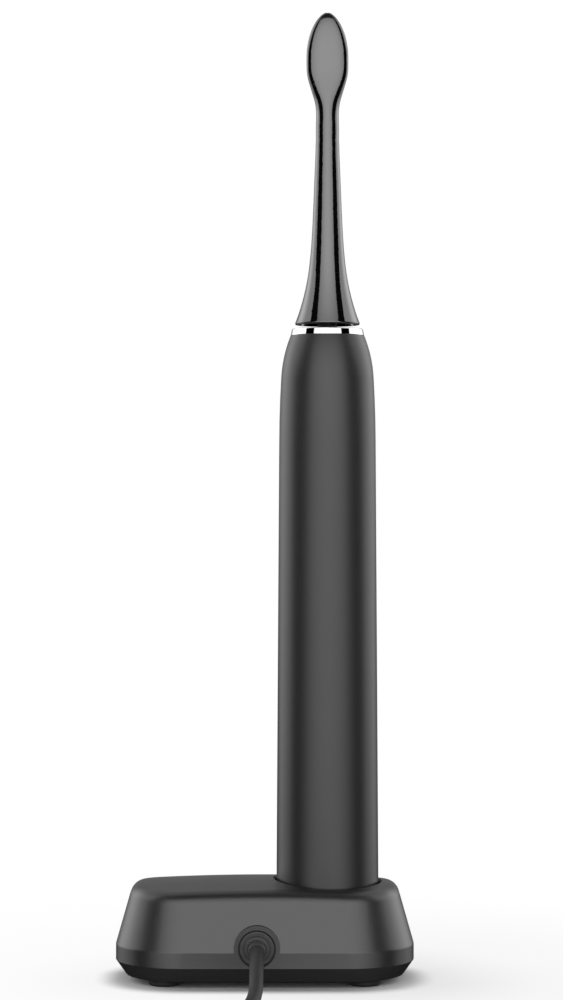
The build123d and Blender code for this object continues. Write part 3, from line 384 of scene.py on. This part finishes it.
def sintered(name, colour, rough=0.6, metallic=0.0):
    """Pressed powder: fine pores"""
    def build(s):
        pore = s.node(
            "ShaderNodeTexVoronoi", {}, {"Vector": s.place(), "Scale": 1 / (0.25 * MM)}, out="Distance")
        cloud = s.noise(2 * MM, 3.0)
        open_pore = s.fall(pore, 0.1, 0.3)
        return {
            "Base Color": s.blend(cloud, tone(colour, 0.8), tone(colour, 1.15)),
            "Roughness": rough + open_pore * 0.15,
            "Normal": s.bump(pore, 0.02 * MM, 0.5),
        }
    return finish(name, build, Metallic=metallic)


def circuit_board(name, colour):
    """Solder mask over traces, with tinned pads"""
    def build(s):
        cell = s.node(
            "ShaderNodeTexVoronoi", {"distance": "MANHATTAN"},
            {"Vector": s.place(), "Scale": 1 / (2.2 * MM), "Randomness": 0.55}, out="Distance")
        trace = s.step(s.wave(cell, 0.5), 0.55, 0.65)
        pad = s.fall(cell, 0.1, 0.13)
        weave = s.wave(s.along("X"), 0.5 * MM) * s.wave(s.along("Z"), 0.5 * MM)
        mask = s.blend(trace, tone(colour, 0.7), tone(colour, 1.5))
        tin = (0.6, 0.58, 0.52)
        return {
            "Base Color": s.blend(pad, mask, tin),
            "Metallic": pad * 0.9,
            "Roughness": 0.34 - pad * 0.06 + weave * 0.05,
            "Normal": s.bump(trace * 0.5 + pad, 0.03 * MM, 0.5),
        }
    return finish(name, build)


def component_case(name, colour):
    """Moulded epoxy with a fine speckle"""
    def build(s):
        speck = s.noise(0.12 * MM, 3.0)
        flow = s.noise(2 * MM, 2.0)
        return {
            "Base Color": s.blend(flow, tone(colour, 0.8), tone(colour, 1.3)),
            "Roughness": 0.5 + speck * 0.15,
            "Normal": s.bump(speck, 0.012 * MM, 0.5),
        }
    return finish(name, build)


def cell_wrap(name, colour, low, high):
    """Shrink film on a steel can, open at both ends"""
    def build(s):
        height = s.along("Z")
        film = s.step(height, low + 0.6 * MM, low + 0.8 * MM)
        film = film * s.fall(height, high - 1.9 * MM, high - 1.7 * MM)
        crease = s.noise(0.8 * MM, 3.0, s.place(scale=(1, 1, 0.1)))
        rubbed = s.noise(3 * MM, 4.0)
        steel = (0.62, 0.62, 0.63)
        wrap = s.blend(rubbed, tone(colour, 0.85), tone(colour, 1.1))
        return {
            "Base Color": s.blend(film, steel, wrap),
            "Metallic": 1.0 - film,
            "Roughness": 0.3 + rubbed * 0.1 + crease * 0.06,
            "Normal": s.bump(crease, 0.02 * MM, 0.35),
        }
    return finish(name, build)


def woven_band(name, colour, turn):
    """Hook-and-loop band: a dense weave under a short pile"""
    def build(s):
        where = s.place(turn=(0, 0, turn))
        warp = s.wave(s.along("X", where), 0.55 * MM)
        weft = s.wave(s.along("Y", where), 0.55 * MM)
        pile = s.noise(0.18 * MM, 3.0)
        weave = warp * weft
        return {
            "Base Color": s.blend(weave * 0.6 + pile * 0.4, tone(colour, 0.6), tone(colour, 1.5)),
            "Roughness": 0.82 + pile * 0.12,
            "Normal": s.bump(weave * 0.5 + pile * 0.5, 0.12 * MM, 0.6),
        }
    return finish(name, build)


def nylon(name, colour, root_y, tip_y):
    """Nylon filaments, smoother towards their rounded tips, and darker towards their roots with painted
    shade
    """
    def build(s):
        # Painted shade: darker towards the roots, where the tufts stand close together
        rise = s.step(s.along("Y"), root_y, tip_y)
        vary = s.noise(0.5 * MM, 2.0)
        return {
            "Base Color": s.blend(rise * 0.8 + vary * 0.2, tone(colour, 0.72), colour),
            "Roughness": 0.42 - rise * 0.1 + vary * 0.08,
            "Normal": s.bump(vary, 0.01 * MM, 0.2),
        }
    return finish(name, build)


def clear_moulding(name, colour, rough):
    """Clear moulding with a slight haze"""
    def build(s):
        haze = s.noise(1.2 * MM, 4.0)
        return {
            "Base Color": s.blend(haze, tone(colour, 0.92), colour),
            "Roughness": rough + haze * 0.12,
            "Normal": s.bump(haze, 0.01 * MM, 0.2),
        }
    return finish(name, build, IOR=1.49)


def wear(material, *nodes):
    """Gives CAD nodes a finish"""
    for node in nodes:
        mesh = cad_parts[node].data
        mesh.materials.clear()
        mesh.materials.append(material)


def deselect():
    """Leaves nothing selected"""
    if bpy.context.object and bpy.context.object.mode != "OBJECT":
        bpy.ops.object.mode_set(mode="OBJECT")
    bpy.ops.object.select_all(action="DESELECT")


def settle(piece, body):
    """Puts a finished piece's place into its mesh and lets it ride on a body"""
    deselect()
    piece.select_set(True)
    bpy.context.view_layer.objects.active = piece
    bpy.ops.object.transform_apply(location=True, rotation=True, scale=True)
    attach(piece, body)


# Pieces

class TOOTHBRUSH_OT_lay_cord(bpy.types.Operator):
    """Lays the cord from the sleeve in the base to a tied coil and on to the plug"""
    bl_idname = "toothbrush.lay_cord"
    bl_label = "Lay the cord"

    # The route in millimetres, as the cord's solids have it
    way_out = (
        (-2.0, -26.35, 11.1), (-2.0, -38.35, 11.1),
        (-1.9, -53.0, 1.9), (-8.5, -70.0, 1.9), (-24.5, -85.0, 1.9),
    )
    way_to_plug = ((-25.5, -147.5, 5.4), (-11.5, -156.5, 4.0), (2.0, -156.5, 4.0))
    run_in = 12.7
    run_out = 16.2
    coil_centre = Vector((-4.0, -113.7, 0.0))
    coil_inner = 14.2
    coil_pitch = 4.25
    layer_turns = 3
    low_layer = 2.75
    points_per_turn = 24

    def coil_place(self, turn):
        """Centreline of the coil: in on the lower layer, up, and out on the upper one"""
        middle = 2 * math.pi * self.layer_turns
        radius = self.coil_inner + self.coil_pitch * abs(turn - middle) / (2 * math.pi)
        climb = min(max((turn - middle) / math.pi + 0.5, 0.0), 1.0)
        height = self.low_layer + self.coil_pitch * (1 - math.cos(math.pi * climb)) / 2
        angle = math.pi + turn
        return self.coil_centre + Vector((radius * math.cos(angle), radius * math.sin(angle), height))

    def route(self):
        """The cord's control points in millimetres, from the sleeve to the plug"""
        count = 2 * self.layer_turns * self.points_per_turn
        coil = [self.coil_place(2 * math.pi * k / self.points_per_turn) for k in range(count + 1)]
        into = (coil[1] - coil[0]).normalized()
        out = (coil[-1] - coil[-2]).normalized()
        points = [Vector(place) for place in self.way_out]
        points.append(coil[0] - into * self.run_in)
        points += coil
        points.append(coil[-1] + out * self.run_out)
        points += [Vector(place) for place in self.way_to_plug]
        return points

    def execute(self, context):
        sizes = context.scene.brush_sizes
        route = self.route()
        exit_point = route[0]
        curve = bpy.data.curves.new("charger_lead", "CURVE")
        curve.dimensions = "3D"
        curve.resolution_u = 8
        curve.bevel_depth = sizes.cord_diameter / 2
        curve.bevel_resolution = 6
        curve.use_fill_caps = True
        spline = curve.splines.new("NURBS")
        spline.points.add(len(route) - 1)
        for point, place in zip(spline.points, route):
            point.co = (*(place * MM), 1.0)
        spline.order_u = 3
        spline.use_endpoint_u = True
        lead = bpy.data.objects.new("charger_lead", curve)
        context.scene.collection.objects.link(lead)
        curve.materials.append(cord_jacket("cord_jacket_finish", context.scene.brush_colours.cord))
        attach(lead, "charger")
        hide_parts("power_cord", "cord_coil", "plug_lead")
        exit_point * MM
        return {"FINISHED"}


class TOOTHBRUSH_OT_plant_bristles(bpy.types.Operator):
    """Plants tufts of nylon filaments in the face of the brush head"""
    bl_idname = "toothbrush.plant_bristles"
    bl_label = "Plant the bristles"

    pitch_x = 1.95 * MM
    pitch_z = 2.0 * MM
    rows = 11
    length = 10.4 * MM
    wave = 0.7 * MM
    wave_rows = 2.5
    root = 0.3 * MM
    bed_depth = 0.8 * MM
    bed_edge = 0.12 * MM
    side_margin = 1.0 * MM
    end_margin = 0.7 * MM
    sides = 5
    tip_rise = 0.012
    tip_share = 0.55
    spacing = 2.35
    ring_twist = 0.4
    unevenness = 0.012
    uneven_step = 2.4
    drawn_length = 1.02
    tip_room = 0.25 * MM

    def execute(self, context):
        sizes = context.scene.brush_sizes
        colours = context.scene.brush_colours
        low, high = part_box("bristles")
        middle = (low + high) / 2
        face = low.y + self.bed_depth
        half_wide = (high.x - low.x) / 2
        half_tall = (high.z - low.z) / 2
        tuft = self.gather_tuft(self.make_filament(sizes.filament_radius), sizes)
        tufts = []
        field_x = half_wide - self.side_margin
        field_z = half_tall - self.end_margin
        for row in range(self.rows):
            z = self.pitch_z * (row - (self.rows - 1) / 2)
            half_row = field_x * math.sqrt(max(0.0, 1 - (z / field_z) ** 2))
            in_row = int(2 * half_row / self.pitch_x) + 1
            tall = self.length + self.wave * math.cos(math.pi * z / self.pitch_z / self.wave_rows)
            for column in range(in_row):
                x = self.pitch_x * (column - (in_row - 1) / 2)
                place = Vector((middle.x + x, face - self.root, middle.z + z))
                tufts.append(self.plant(tuft, place, tall + self.root))
        bpy.data.objects.remove(tuft)
        deselect()
        for piece in tufts:
            piece.select_set(True)
        bpy.context.view_layer.objects.active = tufts[0]
        bpy.ops.object.join()
        bristles = bpy.context.object
        bristles.name = "nylon_tufts"
        bristles.data.materials.clear()
        bristles.data.materials.append(nylon("nylon_finish", colours.bristles, face, high.y))
        bpy.ops.object.shade_smooth_by_angle(angle=math.radians(50))
        settle(bristles, "brush_head")
        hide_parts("bristles")
        bed = self.make_bed(middle, face, half_wide, half_tall)
        bed.data.materials.append(head_gloss("bristle_bed_finish", colours.head))
        settle(bed, "brush_head")
        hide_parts("bristles")
        return {"FINISHED"}

    def make_filament(self, radius):
        """One filament of unit length along Y with a rounded tip"""
        deselect()
        bpy.ops.mesh.primitive_cylinder_add(
            vertices=self.sides, radius=radius, depth=1.0, location=(0, 0.5, 0),
            rotation=(-math.pi / 2, 0, 0))
        piece = bpy.context.object
        bpy.ops.object.transform_apply(location=True, rotation=True, scale=True)
        bpy.ops.object.mode_set(mode="EDIT")
        bpy.ops.mesh.select_mode(type="FACE")
        bpy.ops.mesh.select_all(action="DESELECT")
        bpy.ops.object.mode_set(mode="OBJECT")
        for face in piece.data.polygons:
            face.select = face.normal.y > 0.9
        bpy.ops.object.mode_set(mode="EDIT")
        bpy.ops.mesh.extrude_region_move(TRANSFORM_OT_translate={"value": (0, self.tip_rise, 0)})
        bpy.ops.transform.resize(value=(self.tip_share, 1.0, self.tip_share))
        bpy.ops.object.mode_set(mode="OBJECT")
        return piece

    def gather_tuft(self, filament, sizes):
        """Filaments side by side in rings round the middle one"""
        step = self.spacing * sizes.filament_radius
        spots = []
        for ring in range(1, sizes.filament_rings + 1):
            in_ring = 6 * ring
            for k in range(in_ring):
                angle = 2 * math.pi * k / in_ring + self.ring_twist * ring
                spots.append(Vector((step * ring * math.cos(angle), 0, step * ring * math.sin(angle))))
        bpy.ops.object.mode_set(mode="EDIT")
        bpy.ops.mesh.select_all(action="SELECT")
        last = Vector((0, 0, 0))
        for index, spot in enumerate(spots):
            bpy.ops.mesh.duplicate()
            spot.y = self.unevenness * math.sin(self.uneven_step * index)
            bpy.ops.transform.translate(value=spot - last)
            last = spot
        bpy.ops.object.mode_set(mode="OBJECT")
        return filament

    def plant(self, tuft, place, tall):
        """A copy of the tuft, drawn out to its length"""
        deselect()
        tuft.select_set(True)
        bpy.context.view_layer.objects.active = tuft
        bpy.ops.object.duplicate()
        copy = bpy.context.object
        copy.scale = (1, (tall - self.tip_room) / self.drawn_length, 1)
        copy.location = place
        bpy.ops.object.transform_apply(location=True, rotation=True, scale=True)
        return copy

    def make_bed(self, middle, face, half_wide, half_tall):
        """The slice of the face that the tufts stand in"""
        deselect()
        bpy.ops.mesh.primitive_circle_add(
            vertices=96, radius=1.0, fill_type="NGON",
            location=(middle.x, face - self.bed_depth, middle.z), rotation=(math.pi / 2, 0, 0))
        bed = bpy.context.object
        bed.name = "bristle_bed"
        bed.scale = (half_wide, half_tall, 1.0)
        bpy.ops.object.transform_apply(location=True, rotation=True, scale=True)
        bpy.ops.object.mode_set(mode="EDIT")
        bpy.ops.mesh.select_all(action="SELECT")
        bpy.ops.mesh.extrude_region_move(TRANSFORM_OT_translate={"value": (0, self.bed_depth, 0)})
        bpy.ops.mesh.bevel(offset=self.bed_edge, segments=2)
        bpy.ops.mesh.select_all(action="SELECT")
        bpy.ops.mesh.normals_make_consistent(inside=False)
        bpy.ops.object.mode_set(mode="OBJECT")
        bpy.ops.object.shade_smooth_by_angle(angle=math.radians(35))
        return bed


class TOOTHBRUSH_OT_dress_charger(bpy.types.Operator):
    """Gives the charging base, its feet, its gland and its plug their finishes"""
    bl_idname = "toothbrush.dress_charger"
    bl_label = "Dress the charger"

    post_above_cup = 5 * MM
    plug_lines = (0.05, 1, 1)
    tie_turn = math.radians(-315)

    def execute(self, context):
        colours = context.scene.brush_colours
        low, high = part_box("bottom_cap")
        axis_x = (low.x + high.x) / 2
        cup_radius = (high.x - low.x) / 2
        cup_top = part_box("base_housing")[1].z - self.post_above_cup
        wear(charger_plastic("charger_finish", colours.base, axis_x, cup_radius, cup_top), "base_housing")
        # The plate is the base's plastic made lighter: painted light on the plate, whose downward chamfer
        # lies in shade
        wear(moulded_plastic("plate_finish", tone(colours.base, 1.6)), "base_plate")
        wear(
            rubber("foot_finish", (0.014, 0.014, 0.015), 0.7),
            "foot_left_near", "foot_left_far", "foot_right_near", "foot_right_far")
        wear(rubber("gland_finish", tone(colours.cord, 1.7), 0.3), "cord_grommet", "strain_relief")
        wear(woven_band("tie_finish", (0.02, 0.02, 0.022), self.tie_turn), "cord_tie")
        wear(moulded_plastic("plug_finish", colours.cord, 0.5, 0.25 * MM), "plug_body")
        wear(brushed_metal("plug_shell_finish", (0.5, 0.5, 0.51), 0.36, self.plug_lines), "plug_shell")
        wear(brushed_metal("contact_finish", (0.83, 0.62, 0.26), 0.24, self.plug_lines), "plug_contacts")
        wear(component_case("tongue_finish", (0.02, 0.02, 0.022)), "plug_tongue")
        return {"FINISHED"}


class TOOTHBRUSH_OT_dress_handle(bpy.types.Operator):
    """Gives the handle's outside its finishes"""
    bl_idname = "toothbrush.dress_handle"
    bl_label = "Dress the handle"

    def execute(self, context):
        colours = context.scene.brush_colours
        wear(soft_coat("handle_finish", colours.handle), "handle_shell")
        wear(moulded_plastic("cap_finish", tone(colours.handle, 1.1)), "bottom_cap")
        wear(mirror_metal("ring_finish", (0.93, 0.93, 0.94)), "top_ring")
        wear(rubber("seal_finish", (0.016, 0.016, 0.017)), "shaft_seal", "cap_seal", "button_gasket")
        wear(
            moulded_plastic("button_finish", tone(colours.handle, 0.7), 0.3, 0.4 * MM, 0.006 * MM),
            "button_cap")
        wear(clear_moulding("guide_finish", (0.82, 0.83, 0.84), 0.22), "light_guide")
        return {"FINISHED"}


class TOOTHBRUSH_OT_dress_head(bpy.types.Operator):
    """Gives the brush head and the parts of its socket their finishes"""
    bl_idname = "toothbrush.dress_head"
    bl_label = "Dress the brush head"

    def execute(self, context):
        wear(head_gloss("head_finish", context.scene.brush_colours.head), "head_body")
        wear(brushed_metal("insert_finish", (0.56, 0.56, 0.57), 0.34), "socket_insert")
        return {"FINISHED"}


class TOOTHBRUSH_OT_dress_works(bpy.types.Operator):
    """Gives the parts inside the handle and the base their finishes"""
    bl_idname = "toothbrush.dress_works"
    bl_label = "Dress the works"

    def execute(self, context):
        low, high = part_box("battery_cell")
        wear(cell_wrap("cell_finish", (0.05, 0.2, 0.36), low.z, high.z), "battery_cell")
        wear(
            brushed_metal("steel_finish", (0.6, 0.6, 0.61), 0.3),
            "base_screws", "frame_screws", "motor_case", "battery_tabs", "drive_shaft")
        wear(sintered("ferrite_finish", (0.035, 0.035, 0.037), 0.6), "charge_core")
        wear(sintered("bush_finish", (0.6, 0.4, 0.18), 0.38, 0.9), "front_bush", "rear_bush")
        wear(
            wound_wire("winding_finish", (0.7, 0.32, 0.14), 0.32 * MM),
            "primary_coil", "receiver_coil", "stator_coils")
        wear(circuit_board("board_finish", (0.012, 0.1, 0.04)), "charger_board", "main_board")
        wear(
            component_case("component_finish", (0.022, 0.022, 0.024)),
            "charger_parts", "board_chips", "switch_base")
        wear(moulded_plastic("frame_finish", (0.5, 0.5, 0.49), 0.5), "inner_frame", "motor_end_cap")
        wear(stacked_sheets("sheet_finish", (0.36, 0.36, 0.38), 0.5 * MM), "stator_core", "rotor_yoke")
        wear(mirror_metal("magnet_finish", (0.6, 0.6, 0.62)), "rotor_magnets")
        wear(clear_moulding("lamp_finish", (0.9, 0.85, 0.6), 0.3), "status_leds")
        wear(moulded_plastic("plunger_finish", (0.6, 0.1, 0.06), 0.42), "switch_plunger")
        return {"FINISHED"}


class TOOTHBRUSH_OT_set_stage(bpy.types.Operator):
    """Sets up the floor, the soft light all round and the camera"""
    bl_idname = "toothbrush.set_stage"
    bl_label = "Set the stage"

    floor_size = 12.0
    plate_corner = 18.5 * MM
    close_white = 0.84
    shade = 0.28
    round_white = 0.6
    flag_edge = math.radians(1.5)
    flag_late = math.radians(15)
    flag_narrowing = math.radians(17)
    camera_place = (0.0045, -0.774, 0.1299)
    camera_lens = 102.4

    def execute(self, context):
        self.lay_floor()
        self.light_room(context.scene.brush_studio)
        self.aim_camera(context.scene)
        context.scene.view_settings.view_transform = "Standard"
        return {"FINISHED"}

    def beyond(self, s, value, half):
        """How far a coordinate lies outside a half width"""
        return s.work_out("MAXIMUM", s.work_out("ABSOLUTE", value) - half, 0.0)

    def lay_floor(self):
        """A pale floor that keeps the shadow close to the object and is white further off"""
        deselect()
        bpy.ops.mesh.primitive_plane_add(size=self.floor_size)
        floor = bpy.context.object
        floor.name = "studio_floor"
        material = bpy.data.materials.new("floor_finish")
        material.use_nodes = True
        s = Shades(material.node_tree)
        low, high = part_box("base_plate")
        beyond_x = self.beyond(s, s.along("X"), (high.x - low.x) / 2 - self.plate_corner)
        beyond_y = self.beyond(s, s.along("Y"), (high.y - low.y) / 2 - self.plate_corner)
        away = (beyond_x * beyond_x + beyond_y * beyond_y) ** 0.5 - self.plate_corner
        shaded_side = s.step(s.along("X"), -30 * MM, 60 * MM)
        clear_of_cord = s.step(s.along("Y"), -120 * MM, -30 * MM)
        close_by = s.step(away, -1.5 * MM, 6.5 * MM) * (self.close_white - shaded_side * self.shade)
        round_base = s.step(away, -5 * MM, 40 * MM) * clear_of_cord * self.round_white
        white_share = close_by + round_base * (1.0 - close_by)
        white_share = white_share + s.step(away, 20 * MM, 150 * MM) * (1.0 - white_share)
        seen = s.node("ShaderNodeLightPath", out="Is Camera Ray")
        plain = s.node("ShaderNodeBsdfDiffuse", {}, {"Color": (0.9, 0.9, 0.9, 1.0)})
        white = s.node("ShaderNodeEmission", {}, {"Color": (1, 1, 1, 1), "Strength": 1.0})
        both = s.node("ShaderNodeMixShader", {}, {0: white_share * seen, 1: plain, 2: white})
        s.node("ShaderNodeOutputMaterial", {}, {"Surface": both})
        floor.data.materials.append(material)
        floor.visible_glossy = False

    def flags(self, s, studio, turn, height):
        """1 on the black flags, which start later below the horizon and are narrower above it"""
        late = turn - s.fall(height, -0.06, 0.02) * self.flag_late
        narrow = turn + s.step(height, 0.03, 0.42) * self.flag_narrowing
        flag = s.step(late, studio.flag_start - self.flag_edge, studio.flag_start + self.flag_edge)
        flag = flag * s.fall(narrow, studio.flag_end - self.flag_edge, studio.flag_end + self.flag_edge)
        return flag * s.fall(height, 0.7, 0.82)

    def panels(self, s, studio, turn, ahead, height, beside):
        """The near panel, the side panels with a brighter strip behind each, and the ceiling"""
        front = ahead ** 1.4 * studio.front
        high = s.step(height, 0.42, 0.7)
        strip = s.step(turn, 1.65, 2.15) * s.fall(turn, 2.4, 2.9)
        strip = strip * (0.25 + s.step(height, 0.0, 0.12) * 0.6) * (1.0 - high * 0.85)
        side = studio.sides * (1.0 - s.step(turn, 1.65, 1.95) * high * 0.5)
        around = beside * (strip + side) + (1.0 - beside) * front
        above = s.step(height, 0.8, 0.94)
        return self.dim_behind(s, around, turn, height) * (1.0 - above) + above * studio.top

    def dim_behind(self, s, light, turn, height):
        """Less light from behind the object, and none from behind and below it"""
        behind = s.step(turn, 2.2, 2.8) * s.fall(height, 0.35, 0.8)
        under = s.step(turn, 2.4, 2.8) * s.step(-height, 0.0, 0.06)
        return light * (1.0 - behind * 0.75) * (1.0 - under)

    def dim_ends(self, s, light, turn, height, beside):
        """Less light from the gap above the near panel and from below the horizon"""
        gap = s.step(height, 0.72, 0.8) * s.fall(turn, 1.2, 1.7)
        sunk = s.step(-height, -0.05, 0.6)
        low = s.step(-height, 0.06, 0.24) * s.fall(-height, 0.8, 0.95)
        light = light * (1.0 - gap * 0.9) * (1.0 - sunk * 0.77)
        return light * (1.0 - low * (0.4 + beside * 0.5))

    def light_room(self, studio):
        """Soft panels all round, with a black flag on each side of the near one"""
        world = bpy.data.worlds.new("studio")
        world.use_nodes = True
        bpy.context.scene.world = world
        s = Shades(world.node_tree)
        toward = s.node("ShaderNodeTexCoord", out="Generated")
        # The turn is the angle from the near side in radians, the height the sine of the elevation
        x, y, height = (s.along(axis, toward) for axis in "XYZ")
        turn = s.work_out("ABSOLUTE", s.work_out("ARCTAN2", x, -y))
        ahead = s.work_out("MAXIMUM", -y, 0.0)
        middle = (studio.flag_start + studio.flag_end) / 2
        beside = s.step(turn, middle - 0.1, middle + 0.1)
        level = self.panels(s, studio, turn, ahead, height, beside)
        level = level * (1.0 - self.flags(s, studio, turn, height))
        level = self.dim_ends(s, level, turn, height, beside)
        seen = s.node("ShaderNodeLightPath", out="Is Camera Ray")
        glass = s.node("ShaderNodeLightPath", out="Is Transmission Ray")
        lit = s.node("ShaderNodeBackground", {}, {"Color": (1, 1, 1, 1), "Strength": level})
        white = s.node("ShaderNodeBackground", {}, {"Color": (1, 1, 1, 1), "Strength": 1.0})
        both = s.node(
            "ShaderNodeMixShader", {}, {0: s.work_out("MAXIMUM", seen, glass), 1: lit, 2: white})
        s.node("ShaderNodeOutputWorld", {}, {"Surface": both})

    def aim_camera(self, scene):
        """A level camera on the cord's side, as far off as the picture was taken"""
        deselect()
        bpy.ops.object.camera_add(location=self.camera_place, rotation=(math.pi / 2, 0, 0))
        camera = bpy.context.object
        camera.data.lens = self.camera_lens
        camera.data.sensor_width = 36.0
        camera.data.clip_start = 0.01
        scene.camera = camera


# The add-on

class TOOTHBRUSH_PT_panel(bpy.types.Panel):
    """Lists the sizes, the colours and the steps"""
    bl_idname = "TOOTHBRUSH_PT_panel"
    bl_label = "Toothbrush"
    bl_space_type = "VIEW_3D"
    bl_region_type = "UI"
    bl_category = "Toothbrush"

    def draw(self, context):
        layout = self.layout
        for group in ("brush_sizes", "brush_colours", "brush_studio"):
            values = getattr(context.scene, group)
            box = layout.box()
            for name in values.__annotations__:
                box.prop(values, name)
        for step in STEPS:
            layout.operator(step.bl_idname)


GROUPS = (BrushSizes, BrushColours, BrushStudio)
STEPS = (
    TOOTHBRUSH_OT_set_stage,
    TOOTHBRUSH_OT_lay_cord,
    TOOTHBRUSH_OT_dress_charger,
    TOOTHBRUSH_OT_dress_handle,
    TOOTHBRUSH_OT_dress_head,
    TOOTHBRUSH_OT_plant_bristles,
    TOOTHBRUSH_OT_dress_works,
)


def register():
    """Makes the classes and their settings known"""
    for kind in (*GROUPS, *STEPS, TOOTHBRUSH_PT_panel):
        bpy.utils.register_class(kind)
    bpy.types.Scene.brush_sizes = PointerProperty(type=BrushSizes)
    bpy.types.Scene.brush_colours = PointerProperty(type=BrushColours)
    bpy.types.Scene.brush_studio = PointerProperty(type=BrushStudio)


def unregister():
    """Takes the settings and the classes away again"""
    del bpy.types.Scene.brush_studio
    del bpy.types.Scene.brush_colours
    del bpy.types.Scene.brush_sizes
    for kind in reversed((*GROUPS, *STEPS, TOOTHBRUSH_PT_panel)):
        bpy.utils.unregister_class(kind)


def main():
    """Runs the steps in order"""
    register()
    bpy.ops.toothbrush.set_stage()
    bpy.ops.toothbrush.lay_cord()
    bpy.ops.toothbrush.dress_charger()
    bpy.ops.toothbrush.dress_handle()
    bpy.ops.toothbrush.dress_head()
    bpy.ops.toothbrush.plant_bristles()
    bpy.ops.toothbrush.dress_works()


if __name__ == "__main__":
    main()
